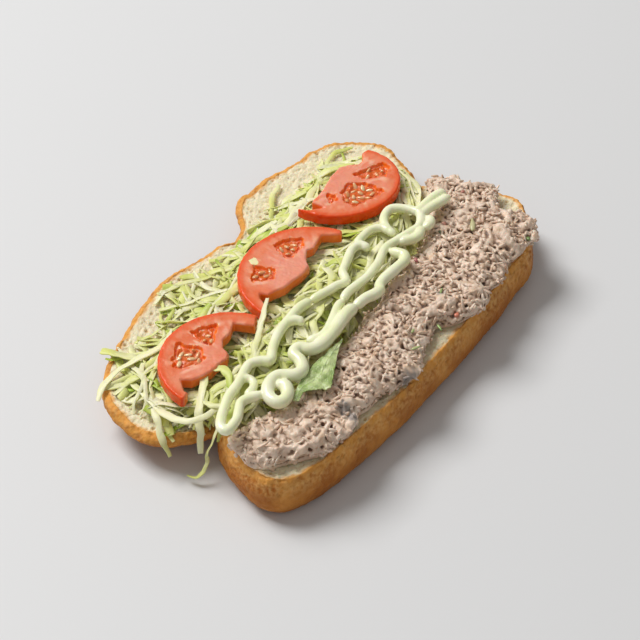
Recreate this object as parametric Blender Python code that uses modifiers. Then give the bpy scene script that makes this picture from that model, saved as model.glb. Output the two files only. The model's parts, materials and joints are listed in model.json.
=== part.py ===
"""An opened submarine sandwich: tuna salad, shredded lettuce, tomato and piped mayonnaise on a roll.

The roll is cut along its length and opened like a book about a hinge of crust. It lies along X.
The heel half, with its flat sole, is on the -Y side and carries the tuna. The lid half lies on its
domed crust on the +Y side, and the lettuce is spread over it and over the hinge.
The origin is on the surface that the roll lies on, under the middle of it. +Z is up.
Plan outlines are in millimetres and become metres where a mesh is made.
"""

import math

import bmesh
import bpy
import numpy as np
from mathutils import Vector, noise

MM = 0.001

# Gap between food that touches, and the seed of the loose strips.
GAP = 0.3
STRIP_SEED = 13

# Roll: each half is a stack of rings, given as (share of the way in to the spine, height).
HEEL_TOP = 24.5
LID_TOP = 19.0
CRUMB_DENT = 0.8
CRUMB_WAVE = 24.0
ROLL_STEP = 8.0
HEEL_SPINE = ((-86, -40), (86, -38))
LID_SPINE = ((-84, 30), (84, 32))
HEEL_EDGE = [(-110, -13), (-118.5, -24), (-124.5, -36), (-128.8, -48.5), (-128, -58.5), (-123.7, -64),
             (-113.8, -69.5), (-100, -73.3), (-67, -78.2), (-29.5, -82.2), (39, -83.2), (71, -81.6),
             (91, -80.3), (111.7, -69.7), (121.6, -62), (127.5, -55), (128.8, -48.7), (127, -36),
             (121, -16), (112, -1), (98, 5), (60, 4), (0, 1), (-60, -4), (-98, -8)]
LID_EDGE = [(-108, -12), (-113, -8), (-120, -2.5), (-124, 0), (-129, 7.5), (-132, 20), (-129, 34),
            (-122.4, 47.8), (-106, 61), (-85.5, 68.5), (-53.3, 76.2), (-31.5, 78.2), (-3.4, 71.4),
            (8.4, 69), (12.7, 64), (26, 68), (36, 78), (47.6, 83.5), (55, 80.8), (67.6, 81.1),
            (83.6, 76.6), (111.5, 69.8), (126.2, 57), (132.1, 43.3), (131.5, 35), (125.3, 23),
            (120.9, 13.6), (113.5, 5), (104, -6), (60, -9), (0, -12), (-60, -16), (-98, -17)]
HEEL_RINGS = [(0.34, 0.0), (0.2, 0.0), (0.07, 2.2), (0.0, 8.0), (0.015, 15.0), (0.06, 21.0),
              (0.12, HEEL_TOP)]
LID_RINGS = [(0.74, 0.0), (0.52, 0.9), (0.27, 5.0), (0.1, 10.5), (0.02, 15.0), (0.0, 17.6),
             (0.025, LID_TOP)]
CUT_FACE_SHARES = (0.27, 0.45, 0.64, 0.82)

# The bed is the height of what carries the toppings, across the hinge line (y from it, height).
# Beyond a margin round each slice it climbs from the slice's underside.
HINGE_Y = -3.0
HINGE_SLOPE = 0.055
SLICE_MARGIN = 5.0
SLICE_CLIMB = 1.2
BED_PROFILE = [(-70, 38.6), (-24, 38.6), (-4, 37.6), (8, 33.6), (18, 31.0), (41, 29.8), (48, 26.0),
               (56, 22.6), (65, 21.0), (90, 20.6)]

# Tuna salad on the heel half.
TUNA_EDGE = [(-116, -24), (-122, -32), (-126, -41), (-123, -50), (-115, -57), (-105, -65), (-97, -70),
             (-87, -72), (-77, -74), (-67, -70), (-58, -73), (-48, -72.5), (-38, -77), (-29, -80),
             (-19, -77), (-9, -73), (2, -70), (8, -69.5), (14, -76), (25, -81), (38, -83), (47, -78.5),
             (57, -82), (67, -78), (77, -78), (88, -77), (97, -81), (104, -73), (108, -64), (103, -55),
             (110, -48), (119, -42), (121, -33), (114, -22), (116, -16), (111, -9), (103, -5),
             (92, -13), (80, -21), (66, -27), (48, -31), (24, -33), (0, -35), (-26, -37), (-50, -38),
             (-72, -37), (-92, -33), (-106, -27)]
TUNA_SPINE = ((-98, -50), (94, -47))
TUNA_STEP = 4.6
TUNA_RINGS = [(0.08, 0.0), (-0.03, 3.4), (-0.02, 7.0), (0.06, 10.0), (0.16, 12.0), (0.3, 13.2),
              (0.46, 13.6), (0.63, 13.6), (0.82, 13.6)]
TUNA_CRAG = 2.6
TUNA_CRAG_WAVE = 6.5
TUNA_LOBE = 1.7
TUNA_LOBE_WAVE = 13.0
# How far the lobes swell outwards, the line between front and back, and the crags of the low edge.
TUNA_SWELL = 0.012
TUNA_MIDDLE_Y = -40
TUNA_EDGE_CRAG = 0.6

# Shredded lettuce: a core, and strips that lie on it.
LETTUCE_EDGE = [(-108, -20), (-92, -28), (-72, -32.5), (-50, -33.5), (-26, -32.5), (0, -30.5),
                (24, -28.5), (48, -26.5), (66, -22.5), (81, -16), (92, -8), (101, 0), (109, 10),
                (113, 24), (111, 40), (102, 52), (88, 57), (70, 54), (52, 57), (37, 61), (22, 57),
                (8, 55), (-8, 60), (-28, 64), (-48, 62), (-66, 55), (-84, 58), (-100, 53),
                (-112, 43), (-118, 28), (-119, 14), (-114, 2), (-112, -9)]
LETTUCE_SPINE = ((-84, 12), (82, 18))
LETTUCE_STEP = 8.0
LETTUCE_RINGS = [(0.0, 0.0), (0.0, 0.3), (0.07, 0.78), (0.18, 1.0), (0.36, 1.0), (0.56, 1.0),
                 (0.78, 1.0)]
LETTUCE_CRAG = 2.2
LETTUCE_CRAG_WAVE = 9.0
LETTUCE_LEAST = 1.0
# The block that the core is stepped over, where it climbs onto the heel half.
STEP_LENGTH = 300.0
STEP_DEPTH = 60.0
STEP_PAST_HINGE = 3.0
STRIP_THICK = 0.9
STRIP_TRIES = 2600
STRIP_COUNT = 26
STRIP_STEP = 8.5
STRIP_TAPER = 0.45
STRIP_STATIONS = 5
STRIP_WIDTHS = (2.4, 3.6)
STRIP_LENGTHS = (14.0, 38.0)
STRIP_LIFTS = (0.8, 2.6)
STRIP_BEND = 0.9
STRIP_AREA = ((-116, 112), (-32, 64))
STRIP_CLEARANCE = 0.7
STRIP_OFF_EDGE = 1.0
STRIP_OFF_BREAD = 0.1
# Strips that reach past the heap: stations (x, y, lift above what carries them) and a width.
REACHING_STRIPS = [
    (((-74, 46, 0), (-92, 51, 0.3), (-107, 55, 0.2), (-119, 51, 0.3), (-127, 48, 0.8)), 3.4),
    (((-80, 46, 0), (-90, 57, 0.2), (-95, 63, 0.2), (-102, 73, 1.5)), 7.0),
    (((-99, 42, 0), (-113, 32, 0.1), (-118, 21, 0.4), (-117, 9, 0.6), (-109, 0, 0)), 3.2),
    (((-104, 16, -0.6), (-116, 13, 0), (-125, 6, 0.8), (-130, 1, -1), (-131.5, -3, -8)), 2.6),
    (((-98, -6, 0), (-110, -10, 4), (-117, -13, 2), (-122, -15, -5), (-126, -15, -11),
      (-130, -11, -15)), 2.0),
    (((-92, -8, 0), (-105, -8, 0.5), (-118, -11, 5), (-125, -14, 1)), 3.0),
    (((34, 52, 0), (46, 60, 0.2), (56, 67, 0.2), (66, 68, 0.3)), 2.8),
    (((86, 50, 0), (98, 57, 0.2), (108, 58, 0.2), (116, 52, 0.3)), 2.6),
    (((-20, 54, 0), (-30, 65, 0.2), (-42, 70, 0.2), (-52, 68, 0.3)), 2.8),
]

# Tomato slices: level half-moons. Each has the oval of its skin, the angles on it between which the
# skin runs, the cut edge back to the start, and the outlines of its seed chambers.
SLICE_THICK = 6.8
SLICE_ROUND = 0.8
SLICE_STEP = 6.5
CHAMBER_DEPTH = 2.2
CHAMBER_FLOOR = 0.72
SLICES = {
    "tomato_slice_1": dict(
        centre=(-78.2, 1.8), radii=(35.5, 35.5), turn=0, skin=(174, 10), under=30.6,
        cut=[(-50.6, 4.4), (-55, 14.7), (-61.8, 11.9), (-67.6, 12.3), (-72.3, 8.9), (-74.1, 4.2),
             (-77.7, 2.5), (-84.1, 4), (-89.6, 4), (-94.9, 6), (-99.8, 8.4), (-102.6, 13.2),
             (-107.8, 7.4), (-107.7, 5.3), (-112.2, 3.9)],
        chambers=[[(-72.4, 28.4), (-66.7, 25.7), (-61.9, 21.7), (-68.4, 17.7), (-74.4, 15.7),
                   (-74.8, 21.1)],
                  [(-82.1, 29), (-82.9, 25.4), (-79.6, 19.4), (-83.4, 13.5), (-86.4, 12.5),
                   (-94.8, 17.7), (-96.9, 21.7), (-90.7, 25.4)]]),
    "tomato_slice_2": dict(
        centre=(-2.6, 1.5), radii=(39.2, 39.2), turn=0, skin=(172, 9), under=31.0,
        cut=[(33.1, 5.5), (26.9, 14.2), (21.9, 13.5), (15.9, 12.1), (12.2, 14.2), (6.2, 10.7),
             (2.4, 6.1), (-4.7, 5.5), (-11.6, 6.9), (-17.9, 7.6), (-24.2, 10.4), (-28, 11.8),
             (-29.3, 16), (-32.3, 13.9), (-34, 9.9), (-38, 6.5)],
        chambers=[[(5.8, 31.4), (12.8, 27.4), (17.8, 22), (11.1, 18.2), (1.9, 19.5), (2.7, 24.1)],
                  [(-13.9, 30.1), (-12.7, 26.3), (-11, 19.6), (-15.4, 17.6), (-20.5, 21), (-23.4, 24.5)]]),
    "tomato_slice_3": dict(
        centre=(70.6, 31.1), radii=(34.2, 30.0), turn=-33.8, skin=(204, 401), under=30.8,
        cut=[(98, 34.2), (93, 30.2), (88.4, 30.7), (84.7, 35.2), (80.4, 37.8), (70.5, 37.6),
             (60.5, 35.2), (54.4, 34.4), (50.2, 34.7), (46.6, 33.9), (47.1, 29.5), (46.6, 26.1),
             (40.9, 31.7)],
        chambers=[[(79.7, 26.7), (88.8, 23.1), (96.6, 19.6), (94.6, 15.7), (88.2, 13.3), (83.8, 16.8),
                   (79.4, 22.4)],
                  [(70.4, 25.8), (61.8, 23.4), (56.9, 18.6), (56.9, 13.2), (67.2, 8.9), (75.4, 7.2),
                   (77.1, 12.1), (75.5, 19.9)],
                  [(56.2, 29.2), (58.3, 26.5), (55.7, 24.5), (52.4, 25.7)]]),
}
# A pale bit that lies on the second slice: its centre, its size and how deep it is pressed in.
BIT_SLICE = "tomato_slice_2"
BIT_CENTRE = (-11.0, 32.6)
BIT_SIZE = (6.5, 4.2, 1.8)
BIT_TURN = 60.0
BIT_SUNK = 0.4

# Mayonnaise: ropes piped along these routes, each with its radius.
ROPE_STEP = 5.6
ROPE_TIP = 0.7
MAYO_ROPES = [
    (2.6, [(-22, -10.7), (-28.9, -9.2), (-35, -8.9), (-42.5, -9.6), (-49.6, -10.2), (-56.5, -12.2),
           (-63.4, -15), (-69.8, -18.3), (-72.6, -14.5), (-77.4, -11.1), (-83.3, -11.9), (-89, -13.5),
           (-95.3, -14.7), (-102.4, -15.7), (-109, -18), (-115.9, -20.9), (-120.9, -24.3),
           (-121.3, -28.4), (-113.1, -28), (-107.5, -25.4), (-102.4, -23.1), (-97.5, -24.7),
           (-92.3, -28.9)]),
    (2.5, [(-43.5, -9.7), (-39.7, -11.5), (-37.6, -14.4), (-39.5, -16.5)]),
    (2.2, [(-89.1, -13.8), (-86.3, -16.1), (-87, -19.9), (-90.8, -22.2), (-97.1, -22.6)]),
    (3.3, [(-14.3, -32.9), (-21, -32.4), (-27.7, -33), (-35, -33.9), (-41.6, -34.4), (-48.1, -33.9),
           (-53.2, -31.4), (-55.5, -26), (-60.6, -26.1), (-62.8, -31.5), (-67.3, -35.9),
           (-72.1, -35.4), (-74.8, -31.9), (-77.4, -28.3), (-82.3, -27.4), (-87.9, -29.1),
           (-92.1, -33), (-93.2, -38), (-90.3, -40.2), (-85.2, -39.1), (-81.2, -34.5),
           (-84.1, -31.8)]),
    (2.4, [(-13.4, -24.8), (-18.7, -25.3), (-24.7, -27.2), (-30.8, -29), (-36.7, -30.7), (-42, -30.4),
           (-48.8, -26.2)]),
    (2.4, [(-22, -10.7), (-16.1, -12.6), (-10.5, -14.5), (-5.1, -16), (-0.9, -18.5), (1.8, -16.7),
           (5.3, -12.8), (10.9, -10.9), (16.5, -9), (22.2, -7.3), (26.7, -7.7), (29, -10.2),
           (28.2, -14.6)]),
    (2.3, [(27.5, -8.5), (30.4, -6.5), (35.4, -6.2), (40.9, -6.6), (45, -9.1), (46.6, -12.6),
           (45.4, -17.3)]),
    (2.4, [(45.2, -20.2), (46.7, -15.4), (50, -10.5), (55.1, -7.3), (60.8, -6.4), (64.2, -8.5),
           (67, -14.7), (67.2, -21.9), (62.6, -25.8), (57.4, -27.3), (52.5, -26.4), (47.3, -25.1),
           (42.1, -23.8), (37.1, -22.4), (32.4, -21.7), (27.2, -23), (21.5, -24.7), (15.3, -25.5),
           (8.8, -25.8), (2.8, -25.2), (-2.7, -24.3), (-7.9, -23.8), (-13.4, -24.8)]),
    (2.6, [(66, -18), (68.9, -20.8), (75.2, -21), (81.8, -21.5), (87.2, -22.9), (90.3, -24.9)]),
    (2.6, [(66, -23), (73.9, -24.6), (79.5, -26.3), (84.9, -27.6), (88.5, -27.7)]),
    (2.6, [(58.1, -30.2), (61.6, -31.4), (65.3, -30.3), (66.5, -26.8)]),
    (2.6, [(57.4, -29), (52.6, -31), (48.1, -30.7), (44.5, -27.9), (40.9, -25.1)]),
    (2.9, [(33, -25), (32.8, -29.5), (33.1, -33.2), (29.6, -35.6), (23.5, -35.3), (17.3, -34.7),
           (11.2, -34.2), (5.9, -35), (3.2, -37), (-1.5, -36.1), (-6, -34.1), (-14.3, -32.9)]),
]

# The torn leaf: stations across it from the mayonnaise down to its tip (left end, right end).
LEAF_STATIONS = [((-36.9, -39.7), (-37.4, -40.3)), ((-43.6, -39), (-44.3, -42.6)),
                 ((-50.9, -38.4), (-52.4, -46.5)), ((-57.6, -37.5), (-60.8, -50.9)),
                 ((-62.5, -38), (-69.7, -54.9)), ((-68.4, -38.2), (-73.6, -51.1)),
                 ((-74, -38.8), (-76.5, -47.3)), ((-81.4, -41), (-79, -44.5)),
                 ((-87, -43.5), (-85.5, -46))]
LEAF_THICK = 0.8
LEAF_WAVE = 1.3
LEAF_WAVE_TURNS = (1.9, 1.3)
LEAF_ACROSS = 4

COLOURS = {
    "bread_roll": (0.78, 0.55, 0.30, 0.75),
    "tuna_salad": (0.58, 0.46, 0.40, 0.6),
    "shredded_lettuce": (0.72, 0.78, 0.38, 0.45),
    "tomato": (0.80, 0.16, 0.09, 0.25),
    "mayonnaise": (0.80, 0.86, 0.62, 0.3),
    "lettuce_leaf": (0.36, 0.55, 0.22, 0.4),
}


def clear_scene():
    """Start from an empty scene."""
    for item in list(bpy.data.objects):
        bpy.data.objects.remove(item, do_unlink=True)


def make_collection(name, parent=None):
    """Make a collection, under the scene's own unless a parent is given."""
    group = bpy.data.collections.new(name)
    (parent or bpy.context.scene.collection).children.link(group)
    return group


def material(name):
    """A Principled material in the named food's colour and roughness."""
    if name in bpy.data.materials:
        return bpy.data.materials[name]
    red, green, blue, rough = COLOURS[name]
    made = bpy.data.materials.new(name)
    made.use_nodes = True
    shader = made.node_tree.nodes["Principled BSDF"]
    shader.inputs["Base Color"].default_value = (red, green, blue, 1.0)
    shader.inputs["Roughness"].default_value = rough
    made.diffuse_color = (red, green, blue, 1.0)
    return made


def mesh_object(name, points, faces, group, finish=None):
    """Make a mesh object from points in millimetres, with its faces turned outwards."""
    mesh = bpy.data.meshes.new(name)
    mesh.from_pydata([tuple(np.asarray(p, dtype=float) * MM) for p in points], [], faces)
    shape = bmesh.new()
    shape.from_mesh(mesh)
    bmesh.ops.triangulate(shape, faces=shape.faces)
    bmesh.ops.recalc_face_normals(shape, faces=shape.faces)
    shape.to_mesh(mesh)
    shape.free()
    made = bpy.data.objects.new(name, mesh)
    group.objects.link(made)
    if finish:
        mesh.materials.append(material(finish))
    return made


def evaluated_copy(source, name, group):
    """A plain mesh object of what the modifiers or the curve settings make, in place of the source."""
    bpy.context.view_layer.update()
    graph = bpy.context.evaluated_depsgraph_get()
    mesh = bpy.data.meshes.new_from_object(source.evaluated_get(graph), depsgraph=graph)
    shape = bmesh.new()
    shape.from_mesh(mesh)
    bmesh.ops.remove_doubles(shape, verts=shape.verts, dist=0.001 * MM)
    bmesh.ops.triangulate(shape, faces=shape.faces)
    bmesh.ops.recalc_face_normals(shape, faces=shape.faces)
    shape.to_mesh(mesh)
    shape.free()
    made = bpy.data.objects.new(name, mesh)
    made.matrix_world = source.matrix_world
    group.objects.link(made)
    bpy.data.objects.remove(source, do_unlink=True)
    return made


def boolean(target, operation, solver="EXACT", other=None, others=None):
    """Add a Boolean with one object, or with every object of a collection."""
    cut = target.modifiers.new(operation.title(), "BOOLEAN")
    cut.operation = operation
    cut.solver = solver
    if others:
        cut.operand_type = "COLLECTION"
        cut.collection = others
    else:
        cut.object = other
    return cut


def move_to(item, group):
    """Take an object out of the collections that hold it and put it in the given one."""
    for holder in list(item.users_collection):
        holder.objects.unlink(item)
    group.objects.link(item)


def mark_cutter(tool):
    """Keep a cutter out of renders, and draw it as wires."""
    tool.hide_render = True
    tool.display_type = "WIRE"
    return tool


def remove_collection(group):
    """Remove a helper collection with what it holds."""
    for item in list(group.objects):
        bpy.data.objects.remove(item, do_unlink=True)
    bpy.data.collections.remove(group)


def keep_largest(target):
    """Drop loose scraps that a Boolean leaves, and keep the main body."""
    shape = bmesh.new()
    shape.from_mesh(target.data)
    left = set(shape.verts)
    bodies = []
    while left:
        stack = [left.pop()]
        body = set(stack)
        while stack:
            for edge in stack.pop().link_edges:
                for vert in edge.verts:
                    if vert in left:
                        left.discard(vert)
                        body.add(vert)
                        stack.append(vert)
        bodies.append(body)
    bodies.sort(key=len)
    scraps = [vert for body in bodies[:-1] for vert in body]
    bmesh.ops.delete(shape, geom=scraps, context="VERTS")
    shape.to_mesh(target.data)
    shape.free()


def smooth_curve(points, step, closed=True):
    """Points a step apart on a smooth curve through the given ones."""
    given = np.array(points, dtype=float)
    if closed:
        padded = np.vstack([given[-1], given, given[0], given[1]])
    else:
        padded = np.vstack([2 * given[0] - given[1], given, 2 * given[-1] - given[-2]])
    fine = []
    for p0, p1, p2, p3 in zip(padded, padded[1:], padded[2:], padded[3:]):
        for t in np.arange(0.0, 1.0, 0.1):
            fine.append(0.5 * (2 * p1 + (p2 - p0) * t + (2 * p0 - 5 * p1 + 4 * p2 - p3) * t ** 2
                               + (3 * p1 - p0 - 3 * p2 + p3) * t ** 3))
    fine.append(padded[-2])
    fine = np.array(fine)
    along = np.concatenate([[0.0], np.cumsum(np.linalg.norm(np.diff(fine, axis=0), axis=1))])
    count = max(3, round(along[-1] / step))
    places = np.linspace(0.0, along[-1], count, endpoint=False) if closed else np.linspace(
        0.0, along[-1], count + 1)
    return np.column_stack([np.interp(places, along, fine[:, axis]) for axis in range(fine.shape[1])])


def wave(x, y, size, lift=0.0):
    """Smooth noise between about -1 and 1 that changes over the given size in millimetres."""
    return noise.noise(Vector((x / size, y / size, lift)))


def toward_spine(loop, spine, share):
    """The loop's points moved a share of the way to the nearest points of the spine."""
    start = np.array(spine[0], dtype=float)
    run = np.array(spine[1], dtype=float) - start
    place = np.clip(((loop - start) @ run) / (run @ run), 0.0, 1.0)
    return loop + (start + place[:, None] * run - loop) * share


def ring_solid(name, rings, group, finish=None):
    """A closed solid through rings of equal point counts, from the lowest ring to the last."""
    count = len(rings[0])
    points = [point for ring in rings for point in ring]
    faces = [tuple(range(count))]
    for level in range(len(rings) - 1):
        for k in range(count):
            nxt = (k + 1) % count
            faces.append((level * count + k, level * count + nxt,
                          (level + 1) * count + nxt, (level + 1) * count + k))
    last = (len(rings) - 1) * count
    faces.append(tuple(range(last, last + count)))
    return mesh_object(name, points, faces, group, finish)


def distance_to_loop(x, y, loop):
    """Distance from a closed loop, negative inside it."""
    point = np.array((x, y), dtype=float)
    ends = np.roll(loop, -1, axis=0)
    run = ends - loop
    place = np.clip(np.einsum("ij,ij->i", point - loop, run) / np.einsum("ij,ij->i", run, run), 0, 1)
    near = np.min(np.linalg.norm(loop + place[:, None] * run - point, axis=1))
    crosses = (loop[:, 1] > y) != (ends[:, 1] > y)
    start, run = loop[crosses], run[crosses]
    at = start[:, 0] + (y - start[:, 1]) / run[:, 1] * run[:, 0]
    inside = np.count_nonzero(at > x) % 2 == 1
    return -near if inside else near


def distance_to_path(x, y, path):
    """Distance from an open path of points."""
    point = np.array((x, y), dtype=float)
    run = path[1:] - path[:-1]
    place = np.clip(np.einsum("ij,ij->i", point - path[:-1], run) / np.einsum("ij,ij->i", run, run), 0, 1)
    return np.min(np.linalg.norm(path[:-1] + place[:, None] * run - point, axis=1))


def slice_outline(spec):
    """A slice's outline: the arc of its skin, then its cut edge."""
    first, last = (math.radians(angle) for angle in spec["skin"])
    long, short = spec["radii"]
    turn = math.radians(spec["turn"])
    count = max(4, round(abs(last - first) * long / SLICE_STEP))
    angles = np.linspace(first, last, count)
    across, up = long * np.cos(angles), short * np.sin(angles)
    arc = np.column_stack([across * math.cos(turn) - up * math.sin(turn),
                           across * math.sin(turn) + up * math.cos(turn)])
    return np.vstack([arc + spec["centre"], spec["cut"]])


OUTLINES = {name: slice_outline(spec) for name, spec in SLICES.items()}


def bed(x, y):
    """Height of what carries the toppings, lowered under the tomato slices."""
    across = y - (HINGE_Y + HINGE_SLOPE * x)
    high = float(np.interp(across, *zip(*BED_PROFILE)))
    for name, spec in SLICES.items():
        away = distance_to_loop(x, y, OUTLINES[name])
        high = min(high, spec["under"] - GAP + max(0.0, away - SLICE_MARGIN) * SLICE_CLIMB)
    return high


def cut_face(x, y, top):
    """Height of a cut bread face: flat, with shallow dents."""
    return top - CRUMB_DENT * (0.5 + 0.5 * wave(x, y, CRUMB_WAVE))


def bread_half(name, edge, spine, levels, top, group):
    """One half of the roll: rings up the crust, over the rim and in across the cut face."""
    loop = smooth_curve(edge, ROLL_STEP)
    rings = []
    for share, height in levels:
        ring = toward_spine(loop, spine, share)
        rings.append([(x, y, height) for x, y in ring])
    for share in CUT_FACE_SHARES:
        ring = toward_spine(loop, spine, share)
        rings.append([(x, y, cut_face(x, y, top)) for x, y in ring])
    return ring_solid(name, rings, group, "bread_roll")


def make_bread(group, tools):
    """The opened roll: two halves joined along the hinge."""
    heel = bread_half("bread_roll", HEEL_EDGE, HEEL_SPINE, HEEL_RINGS, HEEL_TOP, group)
    lid = bread_half("lid_half", LID_EDGE, LID_SPINE, LID_RINGS, LID_TOP, tools)
    boolean(heel, "UNION", other=lid)
    roll = evaluated_copy(heel, "bread_roll_joined", group)
    roll.name = "bread_roll"
    bpy.data.objects.remove(lid, do_unlink=True)
    return roll


def make_tuna(group):
    """The heap of tuna salad: a flat underside, lobed sides and a craggy top."""
    loop = smooth_curve(TUNA_EDGE, TUNA_STEP)
    under = HEEL_TOP + GAP
    rings = []
    for share, rise in TUNA_RINGS:
        ring = toward_spine(loop, TUNA_SPINE, share)
        level = []
        for x, y in ring:
            crag = 0.5 + 0.5 * wave(x, y, TUNA_CRAG_WAVE, 3.0)
            lobe = wave(x, y, TUNA_LOBE_WAVE, 9.0) * TUNA_LOBE
            if rise == 0.0:
                level.append((x, y, under))
                continue
            pull = (1.0 - share) * TUNA_SWELL * lobe
            pull = -pull if y < TUNA_MIDDLE_Y else abs(pull)
            x, y = toward_spine(np.array([(x, y)]), TUNA_SPINE, pull)[0]
            high = under + rise - crag * (TUNA_CRAG if share > 0.0 else TUNA_EDGE_CRAG)
            level.append((x, y, min(high, bed(x, y) - GAP)))
        rings.append(level)
    return ring_solid("tuna_salad", rings, group, "tuna_salad")


def lettuce_top(x, y, share_up=1.0):
    """Height of the lettuce core's surface."""
    floor = LID_TOP + GAP
    crag = 0.5 + 0.5 * wave(x, y, LETTUCE_CRAG_WAVE, 5.0)
    top = max(bed(x, y) - GAP - LETTUCE_CRAG * crag, floor + LETTUCE_LEAST)
    return floor + (top - floor) * share_up


def carrier(x, y, core_loop):
    """Height of a strip's middle where it lies on the core, or else on the lid's cut face."""
    if distance_to_loop(x, y, core_loop) < 0.0:
        return lettuce_top(x, y)
    return LID_TOP + GAP + STRIP_THICK / 2 + STRIP_OFF_BREAD


def make_lettuce_core(group, tools):
    """The body of the shredded lettuce, stepped where it climbs onto the heel half."""
    loop = smooth_curve(LETTUCE_EDGE, LETTUCE_STEP)
    rings = []
    for share, share_up in LETTUCE_RINGS:
        ring = toward_spine(loop, LETTUCE_SPINE, share)
        rings.append([(x, y, lettuce_top(x, y, share_up)) for x, y in ring])
    core = ring_solid("lettuce_core", rings, group, "shredded_lettuce")
    bpy.ops.mesh.primitive_cube_add(size=1.0)
    step = bpy.context.object
    step.name = "step_for_heel"
    height = HEEL_TOP + GAP
    step.scale = (STEP_LENGTH * MM, STEP_DEPTH * MM, height * MM)
    step.rotation_euler = (0.0, 0.0, math.atan(HINGE_SLOPE))
    step.location = (0.0, (HINGE_Y + STEP_PAST_HINGE - STEP_DEPTH / 2) * MM, height / 2 * MM)
    move_to(mark_cutter(step), tools)
    boolean(core, "DIFFERENCE", other=step)
    core = evaluated_copy(core, "lettuce_core_cut", group)
    bpy.data.objects.remove(step, do_unlink=True)
    return core


def strip(name, stations, width, group):
    """One shred of lettuce: a ribbon along its stations, given a thickness."""
    path = smooth_curve(stations, STRIP_STEP, closed=False)
    bpy.ops.mesh.primitive_grid_add(x_subdivisions=len(path) - 1, y_subdivisions=1, size=1.0)
    ribbon = bpy.context.object
    ribbon.name = name
    ahead = np.gradient(path, axis=0)
    side = np.column_stack([-ahead[:, 1], ahead[:, 0], np.zeros(len(path))])
    side /= np.linalg.norm(side, axis=1)[:, None]
    for vert in ribbon.data.vertices:
        k = round((vert.co.x + 0.5) * (len(path) - 1))
        taper = STRIP_TAPER if k in (0, len(path) - 1) else 1.0
        vert.co = Vector((path[k] + side[k] * vert.co.y * width * taper) * MM)
    move_to(ribbon, group)
    shape = bmesh.new()
    shape.from_mesh(ribbon.data)
    bmesh.ops.triangulate(shape, faces=shape.faces)
    shape.to_mesh(ribbon.data)
    shape.free()
    skin = ribbon.modifiers.new("Solidify", "SOLIDIFY")
    skin.thickness = STRIP_THICK * MM
    skin.offset = 0.0
    return ribbon


def strip_is_clear(path, width, core_loop, ropes, leaf_loop):
    """Whether a strip stays clear of the slices, the mayonnaise, the leaf, the tuna and the edge."""
    room = width / 2 + STRIP_CLEARANCE
    for x, y in path:
        if distance_to_loop(x, y, core_loop) > -room - STRIP_OFF_EDGE:
            return False
        if any(distance_to_loop(x, y, loop) < room for loop in OUTLINES.values()):
            return False
        if any(distance_to_path(x, y, rope) < room + radius for radius, rope in ropes):
            return False
        if distance_to_loop(x, y, leaf_loop) < room:
            return False
    return True


def scatter_strips(core_loop, group):
    """Strips laid on the core wherever there is room for them, by a seeded draw."""
    draw = np.random.default_rng(STRIP_SEED)
    ropes = [(radius, smooth_curve(route, ROPE_STEP, closed=False)) for radius, route in MAYO_ROPES]
    leaf_loop = np.array([a for a, _ in LEAF_STATIONS] + [b for _, b in reversed(LEAF_STATIONS)], float)
    placed = 0
    for _ in range(STRIP_TRIES):
        length = draw.uniform(*STRIP_LENGTHS)
        width = draw.uniform(*STRIP_WIDTHS)
        x, y = (draw.uniform(*side) for side in STRIP_AREA)
        heading = draw.uniform(0.0, math.pi)
        bend = draw.uniform(-STRIP_BEND, STRIP_BEND)
        lift = draw.uniform(*STRIP_LIFTS)
        arched = draw.uniform() < 0.5
        places = np.linspace(-0.5, 0.5, STRIP_STATIONS)
        path = np.array([(x + length * s * math.cos(heading + bend * s),
                          y + length * s * math.sin(heading + bend * s)) for s in places])
        if placed == STRIP_COUNT:
            break
        if not strip_is_clear(path, width, core_loop, ropes, leaf_loop):
            continue
        from_middle = (2 * places) ** 2
        rise = lift * ((1 - from_middle) if arched else from_middle)
        tops = np.array([lettuce_top(px, py) for px, py in path])
        stations = np.column_stack([path, tops + rise])
        strip(f"shred_{placed}", stations, width, group)
        placed += 1


def make_lettuce(group, tools):
    """The shredded lettuce: its core and strips, joined as one solid."""
    core = make_lettuce_core(group, tools)
    shreds = make_collection("shreds", tools)
    core_loop = smooth_curve(LETTUCE_EDGE, LETTUCE_STEP)
    for number, (stations, width) in enumerate(REACHING_STRIPS):
        raised = [(x, y, carrier(x, y, core_loop) + lift) for x, y, lift in stations]
        strip(f"long_shred_{number}", raised, width, shreds)
    scatter_strips(core_loop, shreds)
    boolean(core, "UNION", "MANIFOLD", others=shreds)
    heap = evaluated_copy(core, "shredded_lettuce", group)
    heap.name = "shredded_lettuce"
    remove_collection(shreds)
    keep_largest(heap)
    return heap


def chamber_cutter(name, outline, top, tools):
    """A cutter for a seed chamber: its outline above the slice, narrowed to the chamber's floor."""
    middle = np.mean(outline, axis=0)
    floor = middle + (np.array(outline) - middle) * CHAMBER_FLOOR
    rings = [[(x, y, top - CHAMBER_DEPTH) for x, y in floor], [(x, y, top + 1.0) for x, y in outline]]
    return mark_cutter(ring_solid(name, rings, tools))


def add_bit(target, top, tools):
    """Fuse the pale bit to the slice that it lies on."""
    bpy.ops.mesh.primitive_cube_add(size=1.0)
    bit = bpy.context.object
    bit.name = "pale_bit"
    bit.scale = [side * MM for side in BIT_SIZE]
    bit.rotation_euler = (0.0, 0.0, math.radians(BIT_TURN))
    bit.location = (BIT_CENTRE[0] * MM, BIT_CENTRE[1] * MM, (top + BIT_SIZE[2] / 2 - BIT_SUNK) * MM)
    move_to(bit, tools)
    boolean(target, "UNION", other=mark_cutter(bit))
    return bit


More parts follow.
